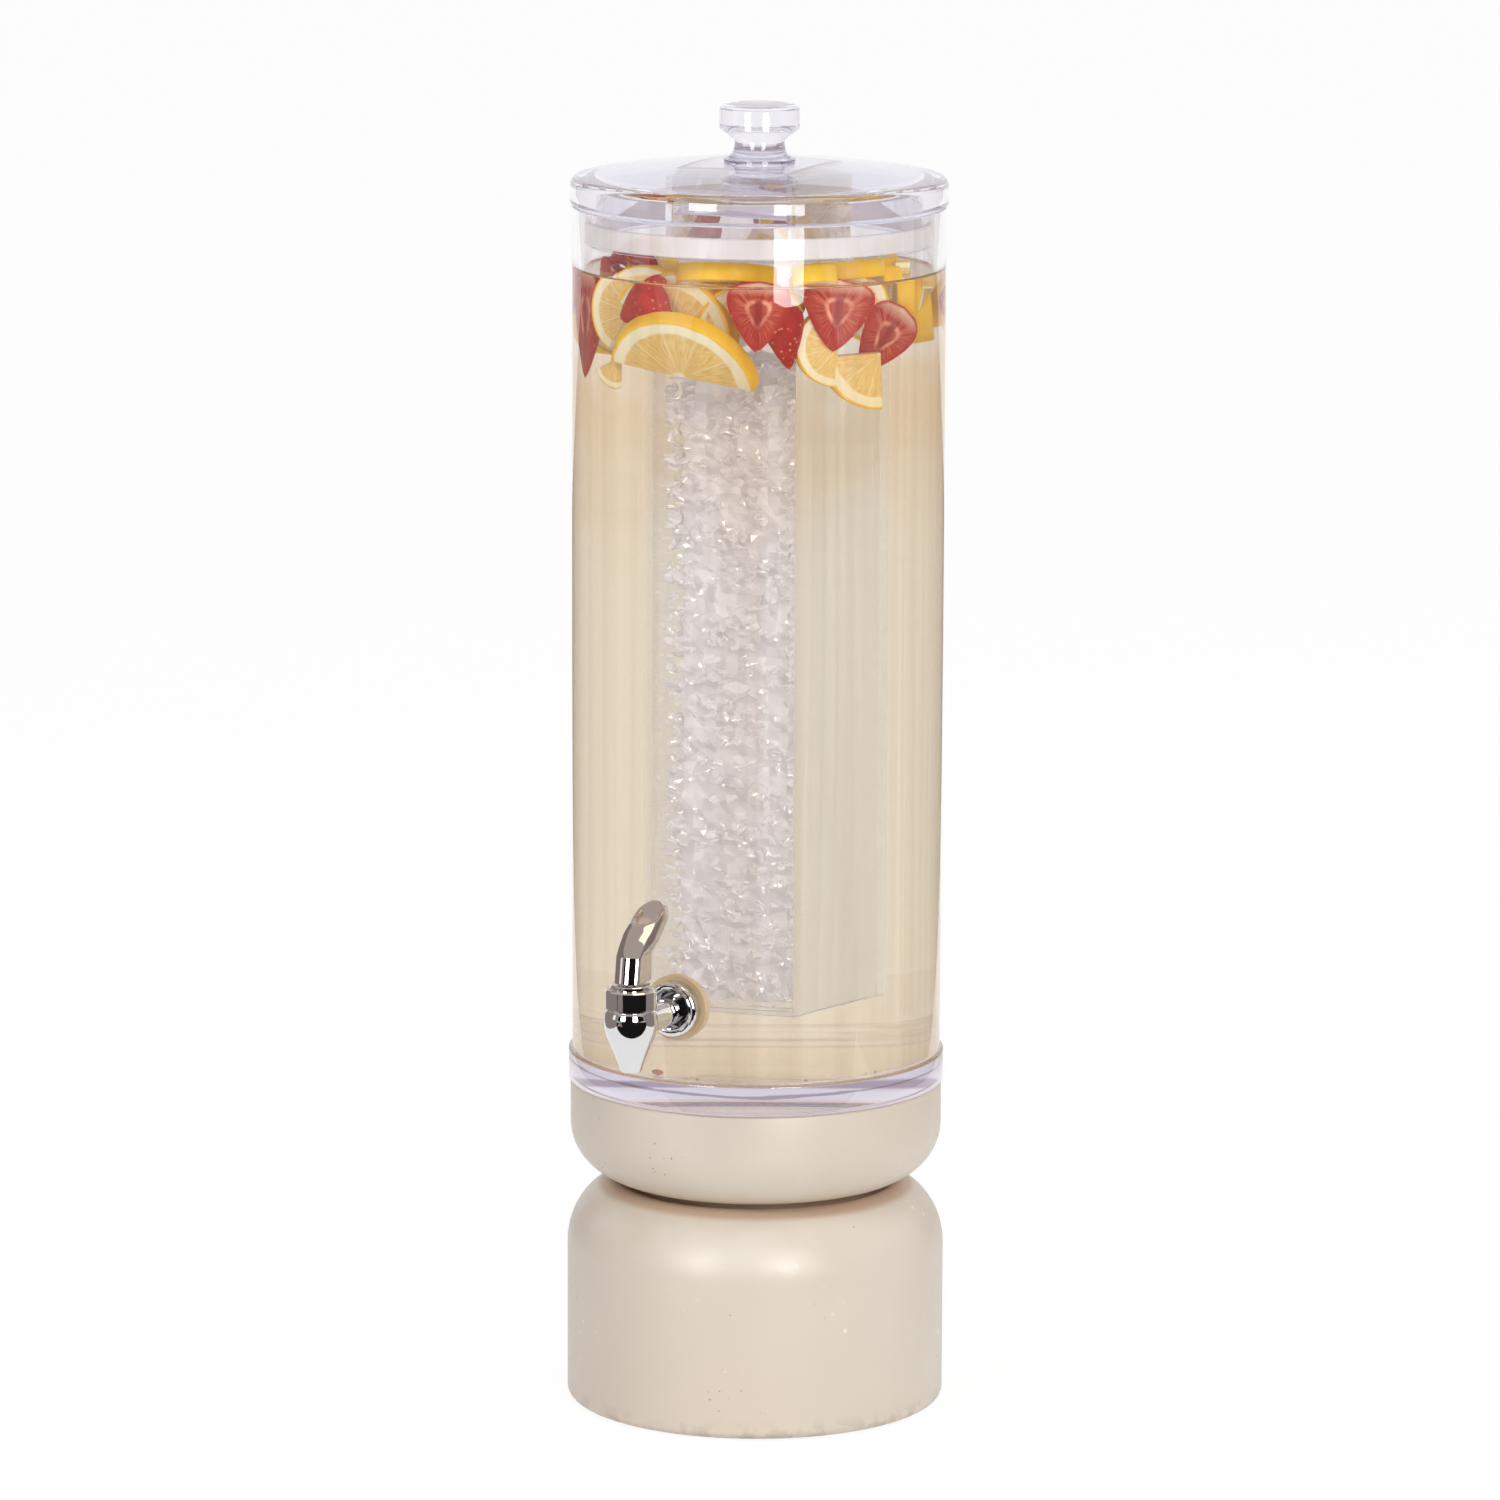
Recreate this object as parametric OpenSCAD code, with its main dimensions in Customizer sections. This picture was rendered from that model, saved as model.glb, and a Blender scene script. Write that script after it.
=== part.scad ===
// Drink dispenser: clear tube on a turned base, lever tap, lid with a hanging ice chamber.
// Millimetres. Origin under the middle of the base, Z up, the tap points along -Y.

/* [Vessel] */
// Outer diameter of the clear tube
tube_d = 203.2; // [190:0.2:225]
// Wall of the clear tube
tube_wall = 6.35; // [5:0.05:8]
// Height of the clear tube
tube_h = 466; // [420:1:540]
// Thickness of the clear floor disc
floor_t = 18; // [14:0.5:24]
// How far the floor disc stands out past the tube
floor_lip = 1.9; // [1:0.1:4]
// Rounding on the edges of the floor disc
floor_round = 1.6; // [0.5:0.1:3]
// Diameter of the locating step under the floor disc
step_d = 166; // [140:1:176]
// Depth of the locating step under the floor disc
step_h = 3; // [2:0.5:6]
// Side clearance round the locating step
step_gap = 0.6; // [0.4:0.1:1.5]

/* [Base] */
// How far the lower drum stands out past the tube
drum_over = 2.6; // [0:0.1:8]
// Height of the lower drum
drum_h = 124; // [112:1:150]
// How far the drum's shoulder comes in
shoulder_in = 33; // [26:0.5:38]
// How far down the drum's side the shoulder reaches
shoulder_down = 37; // [26:0.5:46]
// Rounding on the drum's lower edge
drum_round = 5; // [2:0.5:10]
// Depth of the shadow groove between drum and bowl
groove_h = 3; // [1.5:0.5:5]
// Width of the shadow groove round the bowl's foot
groove_w = 8; // [5:0.5:10]
// How far the upper bowl lies inside the floor disc's edge
bowl_set = 1; // [0:0.1:4]
// Height of the upper bowl from its seat on the drum
bowl_h = 59; // [52:1:80]
// Height of the straight foot under the bowl
foot_h = 4; // [3:0.5:6]
// How far the bowl's underside comes in
bowl_in = 33; // [26:0.5:38]
// How far up the bowl's side the rounding reaches
bowl_up = 31; // [24:0.5:34]
// Diameter of the soft pad under the drum
pad_d = 176; // [120:1:186]
// Thickness of the soft pad
pad_t = 2.5; // [2:0.1:4]
// How far the soft pad stands out under the drum
pad_proud = 1; // [0.6:0.1:1.6]
// Diameter of the centre bolt
bolt_d = 10; // [8:1:12]
// Depth of the counterbore for the bolt head
cbore_h = 58; // [40:1:70]
// Diameter of the counterbore
cbore_d = 30; // [26:1:40]
// Diameter of the washer under the bolt head
bolt_washer_d = 24; // [20:0.5:25]
// Thickness of the washer under the bolt head
bolt_washer_t = 2; // [1.5:0.1:3]
// Width of the bolt head across its corners
bolt_head_d = 19; // [16:0.5:20]
// Height of the bolt head
bolt_head_h = 6.5; // [5:0.1:8]
// Outer diameter of the threaded insert in the bowl
insert_d = 16; // [14:0.5:20]
// Length of the threaded insert in the bowl
insert_h = 24; // [14:1:30]
// Diameter of the two dowels
dowel_d = 10; // [6:0.5:12]
// Length of the two dowels
dowel_l = 34; // [20:1:40]
// Distance of each dowel from the middle
dowel_off = 40; // [30:1:50]

/* [Lid] */
// How far the lid's rim stands out past the tube
lid_over = 1.2; // [0:0.1:5]
// Height of the lid's rim
lid_rim_h = 15.8; // [12:0.1:20]
// Rounding on the rim's upper edge
lid_round = 6.5; // [3:0.1:8]
// Rounding on the rim's lower edge
lid_under_round = 2.5; // [1:0.1:4]
// How far the dome rises over the rim
lid_rise = 8.4; // [6:0.1:12]
// Thickness of the lid's domed shell
lid_wall = 6.5; // [5:0.1:9]
// Clearance between the lid's skirt and the tube
skirt_gap = 2.2; // [1.5:0.1:3]
// Wall of the lid's skirt
skirt_wall = 4.2; // [3.6:0.1:6]
// How far the skirt reaches into the tube
skirt_h = 20; // [18:0.5:30]
// Height of the gasket round the skirt
gasket_h = 11; // [8:0.5:13]
// How deep the gasket sits in the skirt
gasket_in = 1.6; // [1:0.1:2]
// Distance of the gasket from the skirt's lower end
gasket_up = 1.6; // [1:0.1:3]
// Clearance between the gasket and the tube
gasket_gap = 0.3; // [0.2:0.05:0.6]
// Diameter of the knob's head
knob_d = 43.6; // [34:0.2:52]
// Diameter of the knob's neck
knob_neck_d = 27.4; // [20:0.2:30]
// Diameter of the knob's foot
knob_foot_d = 39; // [34:0.5:42]
// Height of the knob over the dome
knob_h = 30.4; // [26:0.2:40]
// Height of the knob's head with its cone
knob_head_h = 19.5; // [15:0.5:21]
// Height of the cone under the knob's head
knob_cone_h = 6.6; // [4:0.2:9]
// Rounding on the knob's upper edge
knob_round = 3.2; // [1:0.1:4]
// Diameter of the peg that holds the knob in the lid
peg_d = 16; // [10:0.5:20]

/* [Ice chamber] */
// Side of the square ice tube
ice_w = 76.2; // [60:0.2:84]
// Wall of the square ice tube
ice_wall = 3.2; // [2.5:0.1:4.5]
// Height of the ice tube's lower end over the floor disc
ice_clear = 29; // [28:1:60]
// Thickness of the ice tube's floor plate
ice_floor_t = 4; // [3:0.5:8]
// Gap between the ice tube's upper end and the lid
ice_top_gap = 1; // [0.5:0.1:3]
// Height of the socket that holds the ice tube
socket_h = 18; // [14:0.5:19]
// Wall of the socket
socket_wall = 4; // [3:0.1:6]
// Clearance between the socket and the ice tube
socket_gap = 0.6; // [0.5:0.05:1]
// Height of the grip band round the socket
band_h = 7; // [4:0.5:9]
// How deep the grip band sits in the socket
band_in = 1; // [0.6:0.1:1.6]
// Clearance between the grip band and the ice tube
band_gap = 0.3; // [0.2:0.05:0.4]
// Distance of the grip band from the socket's lower end
band_up = 3; // [2:0.5:4]

/* [Tap] */
// Height of the tap's arm over the floor disc
tap_up = 41.5; // [34:0.5:80]
// Reach from the tube's wall to the spout
tap_reach = 59.8; // [56:0.2:80]
// Diameter of the tap's arm
arm_d = 15.4; // [14:0.2:18]
// Diameter of the tap's bulb
bulb_d = 28.6; // [27:0.2:34]
// Diameter of the spout's tip
spout_d = 14.4; // [12.6:0.2:18]
// How far the spout's tip lies under the arm's axis
spout_drop = 23.6; // [22:0.2:30]
// Bore of the spout
spout_bore = 9.2; // [6:0.2:10]
// Bore of the valve chamber
chamber_bore = 16; // [15:0.2:17]
// Diameter of the threaded shank
shank_d = 12; // [11:0.2:13]
// Bore of the shank
shank_bore = 7.6; // [6:0.2:8.4]
// Clearance of the tap hole round the shank
hole_gap = 0.5; // [0.2:0.1:1]
// Diameter of the outer rubber washer
washer_d = 36; // [32:0.5:42]
// Thickness of the outer rubber washer at its middle
washer_t = 4; // [3:0.1:6]
// Diameter of the flange cup
flange_d = 30.4; // [27:0.2:31]
// Depth of the flange cup
flange_t = 7.4; // [6:0.1:10]
// Thickness of the flange cup's bottom
flange_web = 2.4; // [1.5:0.1:3.5]
// Diameter of the inner rubber washer
washer_in_d = 28; // [24:0.5:32]
// Thickness of the inner rubber washer at its middle
washer_in_t = 4; // [3:0.1:5]
// Width of the nut across its corners
nut_d = 24; // [20:0.5:27]
// Thickness of the nut
nut_t = 8; // [5:0.5:9]
// How far the shank stands out of the nut
shank_out = 2; // [1:0.5:3]
// Diameter of the collar nut on the tap
bonnet_d = 27.8; // [26.8:0.2:34]
// Height of the collar nut on the tap
bonnet_h = 11; // [9.5:0.5:14]
// Diameter of the neck inside the collar nut
neck_d = 23.2; // [22.6:0.2:24]
// Diameter of the cap inside the collar nut
cap_d = 21.8; // [20:0.2:22]
// How far the cap stands out of the collar nut
cap_up = 2.5; // [1.5:0.1:4]
// Clearance between the cap and the collar nut
cap_gap = 0.3; // [0.2:0.05:0.5]
// Thickness of the cap's flange
cap_flange_t = 2.5; // [2:0.1:3.5]
// Thickness of the collar nut's lip
bonnet_lip_t = 3; // [2:0.1:3.5]
// Diameter of the stem
stem_d = 5; // [4:0.1:5.4]
// Running clearance of stem and pin
run_gap = 0.05; // [0.03:0.01:0.08]
// Diameter of the seat plug
plug_d = 12.4; // [11:0.2:13]
// Height of the seat plug
plug_h = 6; // [5:0.2:7]
// Rest clearance between moving pieces that close on each other
rest_gap = 0.3; // [0.2:0.05:0.5]
// Mean diameter of the closing spring
spring_d = 9.4; // [8:0.1:10]
// Wire diameter of the closing spring
spring_wire = 1; // [0.8:0.05:1.2]
// Number of curls in the closing spring
spring_turns = 6; // [4:1:8]

/* [Lever] */
// Width of the lever
lever_w = 14.4; // [13:0.2:17]
// How far the lever's front face lies before its pin
lever_front = 7.4; // [6.4:0.1:9]
// How far the lever's back lies behind its pin
lever_back = 11.4; // [11.2:0.1:13]
// Height of the pin over the lever's underside
pin_up = 5.7; // [5:0.1:6.5]
// Height of the crease in the lever's front over the pin
crease_up = 8.2; // [7:0.1:10]
// How far the lever's tip lies behind the pin
lever_len = 38; // [32:0.5:40]
// Height of the lever's tip over the pin
lever_rise = 31; // [28:0.5:34]
// Thickness of the lever at its tip
lever_tip_t = 7; // [5:0.2:8]
// Height of the lever's straight back over the pin
back_up = 11; // [9:0.2:12]
// Diameter of the lever pin
pin_d = 3; // [2.4:0.1:3.2]
// How far the pin's blind end lies inside the lever's side
pin_blind = 2; // [1.5:0.1:3]
// Tilt of the lever when the tap is open, in degrees
lever_tilt = 22; // [14:1:22]
// Lift of the stem for each radian of the lever's tilt
cam_lift = 8; // [7:0.1:8]
// Radius of the round cutter for the thumb dish
dish_r = 15; // [12:0.5:20]
// Depth of the thumb dish
dish_depth = 1.2; // [0.8:0.1:1.5]
// How far the thumb dish's middle lies behind the pin
dish_at = 21; // [18:0.5:24]

/* [Hidden] */
$fn = 96;
// How far a cut runs past the face that it opens
over = 1;
// Steps along a large rounding and along a small one
big_steps = 14;
small_steps = 6;

// Widths that follow the tube
tube_r = tube_d / 2;
tube_in = tube_r - tube_wall;
floor_r = tube_r + floor_lip;
drum_r = tube_r + drum_over;
bowl_r = floor_r - bowl_set;
lid_r = tube_r + lid_over;

// Heights of the base
drum_z = pad_proud;
drum_top = drum_z + drum_h;
seat_z = drum_top - groove_h;
bowl_z = seat_z;
bowl_top = bowl_z + bowl_h;
foot_r = bowl_r - bowl_in;
lip_r = foot_r + groove_w;
shoulder_r = drum_r - shoulder_in;
lip_angle = acos((lip_r - shoulder_r) / shoulder_in);
bolt_seat_z = drum_z + cbore_h;
insert_z = bowl_z + over;
insert_top = insert_z + insert_h;
dowel_z = seat_z - dowel_l / 2;
// Clearance of the bolt in the drum
bolt_gap = 1;

// Heights of the vessel
floor_z = bowl_top + rest_gap;
floor_top = floor_z + floor_t;
rim_z = floor_top + tube_h;

// Heights of the lid
lid_z = rim_z + rest_gap;
lid_rim_top = lid_z + lid_rim_h;
dome_r = lid_r - lid_round;
dome_top = lid_rim_top + lid_rise;
skirt_r = tube_in - skirt_gap;
skirt_in = skirt_r - skirt_wall;
skirt_z = lid_z - skirt_h;
gasket_z = skirt_z + gasket_up;
gasket_r = tube_in - gasket_gap;
gasket_in_r = skirt_r - gasket_in;
peg_r = peg_d / 2;
knob_foot_h = knob_h - knob_head_h;
// How far the foot's flat runs up before it flares into the neck
knob_foot_edge = 1.2;
boss_r = knob_foot_d / 2 + 0.5;
// Angle where the rim's rounding runs into the dome
rim_sweep = 85;

// Sizes of the ice chamber
ice_z = floor_top + ice_clear;
ice_top = ceiling(ice_w / 2 * sqrt(2)) - ice_top_gap;
ice_in = ice_w - 2 * ice_wall;
socket_w = ice_in - 2 * socket_gap;
socket_z = ceiling(socket_w / 2 * sqrt(2)) - socket_h;
band_w = ice_in - 2 * band_gap;
band_z = socket_z + band_up;
band_in_w = socket_w - 2 * band_in;

// Places of the tap
tap_z = floor_top + tap_up;
tap_y = -(tube_r + tap_reach);
washer_y = -(tube_r + washer_t);
arm_y = washer_y - flange_web;
nut_y = -(tube_in - washer_in_t);
shank_y = nut_y + nut_t + shank_out;
spout_z = tap_z - spout_drop;
bonnet_z = tap_z + arm_d / 2 + 3;
bonnet_top = bonnet_z + bonnet_h;
cap_top = bonnet_top + cap_up;
neck_top = bonnet_top - bonnet_lip_t - cap_flange_t;
seat_plug_z = tap_z - arm_d / 2 - 1;
plug_z = seat_plug_z + rest_gap;
plug_top = plug_z + plug_h;
// How deep the stem is set in the plug
stem_in = 4;
stem_r = stem_d / 2;
lever_z = cap_top + rest_gap;
pin_z = lever_z + pin_up;
stem_top = pin_z + stem_r;
spring_z = plug_top + rest_gap + spring_wire / 2;
spring_top = neck_top - rest_gap - spring_wire / 2;
// Rings to a curl and sides of the spring's wire
spring_rings = 8;
spring_sides = 6;
slot_gap = rest_gap;
slot_r = stem_r * sqrt(2) + slot_gap;
slot_back = pin_up * tan(lever_tilt) + stem_r / cos(lever_tilt) + slot_gap;

// Points on a rounding: middle, half width, half height, first and last angle, steps
function arc(x, z, rx, rz, a0, a1, n) =
    [for (i = [0:n]) let (a = a0 + (a1 - a0) * i / n) [x + rx * cos(a), z + rz * sin(a)]];

// Points on a smooth bend from p to r that leans towards q
function bend(p, q, r, n) =
    [for (i = [0:n]) let (t = i / n) (1 - t) * (1 - t) * p + 2 * t * (1 - t) * q + t * t * r];

// Points of the lever's heel, which lifts the pin evenly as the lever tilts by angle t
function heel(t) = let (h = pin_up + cam_lift * t * PI / 180)
    [h * sin(t) + cam_lift * cos(t), -h * cos(t) + cam_lift * sin(t)];

// Height of the lever's upper face over its pin, at distance y behind the pin
function lever_top(y) = let (a = lever_len - lever_tip_t / 2 - 3 * lever_front, b = 4 * lever_front,
    t = (sqrt(b * b + 4 * a * (y + lever_front)) - b) / (2 * a), z1 = lever_rise - crease_up / 2)
    (1 - t) * (1 - t) * crease_up + 2 * t * (1 - t) * z1 + t * t * lever_rise;

// A cylinder along Y from y0 to y1
module along_y(d, y0, y1) {
    translate([0, y1, 0]) rotate([90, 0, 0]) cylinder(d = d, h = y1 - y0);
}

// A square ring standing on height z
module square_ring(outer, inner, z, h) {
    translate([0, 0, z]) difference() {
        translate([-outer / 2, -outer / 2, 0]) cube([outer, outer, h]);
        translate([-inner / 2, -inner / 2, -over]) cube([inner, inner, h + 2 * over]);
    }
}

// Holes for the two dowels
module dowel_pair() {
    for (s = [-1, 1]) translate([s * dowel_off, 0, dowel_z]) cylinder(d = dowel_d, h = dowel_l);
}

// Soft pad glued into a recess under the drum
module base_pad() {
    color("dimgray") cylinder(d = pad_d, h = pad_t);
}

// Lower turned drum with its rounded shoulder and the seat for the bowl
module base_drum() {
    color("antiquewhite") difference() {
        rotate_extrude() polygon(concat(
            [[0, drum_z]],
            arc(drum_r - drum_round, drum_z + drum_round, drum_round, drum_round, -90, 0, small_steps),
            arc(shoulder_r, drum_top - shoulder_down, shoulder_in, shoulder_down, 0, lip_angle, big_steps),
            [[lip_r, seat_z], [0, seat_z]]));
        translate([0, 0, drum_z - over]) cylinder(d = pad_d, h = pad_t - pad_proud + over);
        translate([0, 0, drum_z - over]) cylinder(d = cbore_d, h = cbore_h + over);
        translate([0, 0, drum_z]) cylinder(d = bolt_d + bolt_gap, h = drum_h);
        dowel_pair();
    }
}

// Upper turned bowl with the recess that takes the vessel's step
module base_bowl() {
    color("antiquewhite") difference() {
        rotate_extrude() polygon(concat(
            [[0, bowl_z], [foot_r, bowl_z]],
            arc(foot_r, bowl_z + foot_h + bowl_up, bowl_in, bowl_up, -90, 0, big_steps),
            [[bowl_r, bowl_top], [0, bowl_top]]));
        translate([0, 0, bowl_top - step_h]) cylinder(d = step_d + 2 * step_gap, h = step_h + over);
        translate([0, 0, bowl_z - over]) cylinder(d = bolt_d + bolt_gap, h = 2 * over);
        translate([0, 0, insert_z]) cylinder(d = insert_d, h = insert_h);
        dowel_pair();
    }
}

// Hex bolt that draws the bowl down on the drum
module base_bolt() {
    color("silver") {
        translate([0, 0, bolt_seat_z - bolt_washer_t - bolt_head_h])
            cylinder(d = bolt_head_d, h = bolt_head_h, $fn = 6);
        translate([0, 0, bolt_seat_z - bolt_washer_t - bolt_head_h])
            cylinder(d = bolt_d, h = insert_top - bolt_seat_z + bolt_washer_t + bolt_head_h);
    }
}

// Washer under the bolt head
module base_washer() {
    color("silver") translate([0, 0, bolt_seat_z - bolt_washer_t]) difference() {
        cylinder(d = bolt_washer_d, h = bolt_washer_t);
        translate([0, 0, -over]) cylinder(d = bolt_d, h = bolt_washer_t + 2 * over);
    }
}

// Threaded insert in the bowl
module base_insert() {
    color("goldenrod") translate([0, 0, insert_z]) difference() {
        cylinder(d = insert_d, h = insert_h);
        translate([0, 0, -over]) cylinder(d = bolt_d, h = insert_h + 2 * over);
    }
}

// Two dowels that keep drum and bowl from turning
module base_dowels() {
    color("burlywood") dowel_pair();
}

// Thick clear disc bonded under the tube, with the step that sits in the bowl
module vessel_floor() {
    color("lavender", 0.5) rotate_extrude() polygon(concat(
        [[0, floor_z - step_h + rest_gap], [step_d / 2, floor_z - step_h + rest_gap], [step_d / 2, floor_z]],
        arc(floor_r - floor_round, floor_z + floor_round, floor_round, floor_round, -90, 0, small_steps),
        arc(floor_r - floor_round, floor_top - floor_round, floor_round, floor_round, 0, 90, small_steps),
        [[0, floor_top]]));
}

// Clear tube with the hole for the tap
module vessel_tube() {
    color("lavender", 0.35) difference() {
        translate([0, 0, floor_top]) cylinder(d = tube_d, h = tube_h);
        translate([0, 0, floor_top - over]) cylinder(r = tube_in, h = tube_h + 2 * over);
        translate([0, 0, tap_z]) along_y(shank_d + 2 * hole_gap, -(tube_r + over), -tube_in / 2);
    }
}

// Turned outline of the tap's bulb, neck and spout round the upright axis
module tap_bulb() {
    tip_r = spout_d / 2;
    big_r = bulb_d / 2;
    top_r = neck_d / 2;
    waist_z = spout_z + spout_drop / 5;
    belly_z = tap_z + arm_d / 4;
    rotate_extrude() polygon(concat(
        [[0, spout_z], [tip_r, spout_z]],
        bend([tip_r, waist_z], [tip_r + 0.6, waist_z + 4], [big_r - 2.4, tap_z - arm_d * 0.42], small_steps),
        bend([big_r - 1.8, tap_z - arm_d / 3], [big_r - 0.2, tap_z - 1], [big_r, belly_z], small_steps),
        bend([big_r, belly_z + 0.3], [big_r - 0.1, bonnet_z - 1.2], [top_r + 1, bonnet_z], small_steps),
        [[top_r, bonnet_z], [top_r, neck_top], [0, neck_top]]));
}

// Tap body: bulb with spout, arm and threaded shank in one piece
module tap_body() {
    color("gainsboro") difference() {
        union() {
            translate([0, tap_y, 0]) tap_bulb();
            translate([0, 0, tap_z]) along_y(arm_d, tap_y, arm_y);
            translate([0, 0, tap_z]) along_y(shank_d, tap_y, shank_y);
        }
        translate([0, tap_y, spout_z - over]) cylinder(d = spout_bore, h = spout_drop);
        translate([0, tap_y, seat_plug_z]) cylinder(d = chamber_bore, h = neck_top - seat_plug_z + over);
        translate([0, 0, tap_z]) along_y(shank_bore, tap_y, shank_y + over);
    }
}

// Flange cup between the arm and the washer
module tap_flange() {
    rim_w = flange_t / 3;
    color("gainsboro") translate([0, washer_y, tap_z]) rotate([90, 0, 0]) difference() {
        rotate_extrude() polygon(concat(
            [[shank_d / 2, 0], [flange_d / 2, 0]],
            arc(flange_d / 2 - rim_w, flange_t - rim_w, rim_w, rim_w, 0, 180, small_steps * 2),
            [[arm_d / 2 + 1, flange_web], [shank_d / 2, flange_web]]));
    }
}

// Rubber washer outside the wall, hollowed to the tube
module tap_outer_washer() {
    color("burlywood") difference() {
        translate([0, 0, tap_z]) along_y(washer_d, washer_y, -tube_in);
        translate([0, 0, tap_z - washer_d]) cylinder(r = tube_r, h = 2 * washer_d);
        translate([0, 0, tap_z]) along_y(shank_d, washer_y - over, -tube_in + over);
    }
}

// Rubber washer inside the wall, rounded to the tube
module tap_inner_washer() {
    color("burlywood") difference() {
        intersection() {
            translate([0, 0, tap_z]) along_y(washer_in_d, -tube_r, nut_y);
            translate([0, 0, tap_z - washer_d]) cylinder(r = tube_in, h = 2 * washer_d);
        }
        translate([0, 0, tap_z]) along_y(shank_d, -tube_r - over, nut_y + over);
    }
}

// Nut on the shank inside the vessel
module tap_nut() {
    color("silver") translate([0, nut_y + nut_t, tap_z]) rotate([90, 0, 0]) difference() {
        cylinder(d = nut_d, h = nut_t, $fn = 6);
        translate([0, 0, -over]) cylinder(d = shank_d, h = nut_t + 2 * over);
    }
}

// Collar nut that holds the cap on the tap body
module tap_bonnet() {
    edge = 0.8;
    color("gainsboro") translate([0, tap_y, 0]) rotate_extrude() polygon([
        [neck_d / 2, bonnet_z], [bonnet_d / 2 - edge, bonnet_z], [bonnet_d / 2, bonnet_z + edge],
        [bonnet_d / 2, bonnet_top - edge], [bonnet_d / 2 - edge, bonnet_top],
        [cap_d / 2 + cap_gap + edge, bonnet_top], [cap_d / 2 + cap_gap, bonnet_top - edge],
        [cap_d / 2 + cap_gap, bonnet_top - bonnet_lip_t], [neck_d / 2, bonnet_top - bonnet_lip_t]]);
}

// Cap that guides the stem and carries the lever's heel
module tap_cap() {
    edge = 0.5;
    color("gainsboro") translate([0, tap_y, 0]) rotate_extrude() polygon([
        [stem_r + run_gap, neck_top], [neck_d / 2, neck_top], [neck_d / 2, neck_top + cap_flange_t],
        [cap_d / 2, neck_top + cap_flange_t], [cap_d / 2, cap_top - edge], [cap_d / 2 - edge, cap_top],
        [stem_r + run_gap, cap_top]]);
}

// Closing spring between the cap and the plug, one tube swept along a helix
module tap_spring() {
    n = spring_turns * spring_rings;
    s = spring_sides;
    rise = (spring_top - spring_z) / n;
    pts = [for (i = [0:n], j = [0:s - 1])
        let (a = 360 * i / spring_rings, b = 360 * j / s, r = spring_d / 2 + spring_wire / 2 * cos(b))
        [r * cos(a), r * sin(a), spring_z + rise * i + spring_wire / 2 * sin(b)]];
    sides = [for (i = [0:n - 1], j = [0:s - 1]) let (k = (j + 1) % s)
        each [[i * s + j, (i + 1) * s + j, (i + 1) * s + k], [i * s + j, (i + 1) * s + k, i * s + k]]];
    ends = [for (j = [1:s - 2]) each [[0, j, j + 1], [n * s, n * s + j + 1, n * s + j]]];
    near = min([for (i = [0:n - spring_rings], j = [0:s - 1], k = [0:s - 1])
        norm(pts[i * s + j] - pts[(i + spring_rings) * s + k])]);
    echo(str("least gap between the spring's curls ", near));
    color("silver") translate([0, tap_y, 0]) polyhedron(pts, concat(sides, ends));
}

// Stem that the lever lifts
module tap_stem() {
    color("silver") difference() {
        translate([0, tap_y, plug_top - stem_in]) cylinder(d = stem_d, h = stem_top - plug_top + stem_in);
        translate([-stem_d, tap_y, pin_z]) rotate([0, 90, 0]) cylinder(d = pin_d + 2 * run_gap, h = 2 * stem_d);
    }
}

// Rubber plug on the stem that closes the spout
module tap_plug() {
    edge = 1.5;
    color("dimgray") translate([0, tap_y, 0]) difference() {
        rotate_extrude() polygon([
            [0, plug_z], [plug_d / 2 - edge, plug_z], [plug_d / 2, plug_z + edge], [plug_d / 2, plug_top],
            [0, plug_top]]);
        translate([0, 0, plug_top - stem_in]) cylinder(d = stem_d, h = stem_in + over);
    }
}

// Side outline of the lever about its pin, written as Y and Z
module lever_side() {
    top = [lever_len - lever_tip_t / 2, lever_rise];
    low = [lever_len - lever_tip_t / 2, lever_rise - lever_tip_t];
    end = heel(lever_tilt);
    polygon(concat(
        [[-lever_front, -pin_up]],
        bend([-lever_front, crease_up], [lever_front, lever_rise - crease_up / 2], top, big_steps),
        arc(top.x, lever_rise - lever_tip_t / 2, lever_tip_t / 2, lever_tip_t / 2, 90, -90, small_steps),
        bend(low, [lever_back + 6, back_up + 2], [lever_back, back_up], small_steps),
        [[lever_back, end.y + 2]],
        [for (i = [small_steps:-1:0]) heel(lever_tilt * i / small_steps)]));
}

// Thumb lever with its heel, its slot for the stem and its thumb dish
module tap_lever() {
    slope = atan2(lever_top(dish_at + 1) - lever_top(dish_at - 1), 2);
    color("gainsboro") translate([0, tap_y, pin_z]) difference() {
        intersection() {
            rotate([90, 0, 90]) translate([0, 0, -lever_w / 2]) linear_extrude(lever_w) lever_side();
            translate([0, 0, -2 * pin_up]) linear_extrude(2 * lever_rise) union() {
                translate([-lever_w / 2, -lever_front]) square([lever_w, lever_front + lever_len - lever_w / 2]);
                translate([0, lever_len - lever_w / 2]) circle(d = lever_w);
            }
        }
        translate([-stem_r - slot_gap, -slot_r, -2 * pin_up])
            cube([stem_d + 2 * slot_gap, slot_r + slot_back, 2 * pin_up + slot_r]);
        translate([-lever_w, 0, 0]) rotate([0, 90, 0]) cylinder(d = pin_d, h = lever_w * 3 / 2 - pin_blind);
        translate([0, dish_at, lever_top(dish_at)]) rotate([slope, 0, 0])
            translate([0, 0, dish_r - dish_depth]) along_y(2 * dish_r, -lever_len, lever_len);
    }
}

// Pin that joins lever and stem, pressed in from the lever's left side
module lever_pin() {
    color("silver") translate([-lever_w / 2, tap_y, pin_z]) rotate([0, 90, 0])
        cylinder(d = pin_d, h = lever_w - pin_blind);
}

// Height of the dome's outside at radius r
function dome(r) = lid_rim_top + lid_rise * (1 - r * r / dome_r / dome_r);

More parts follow.
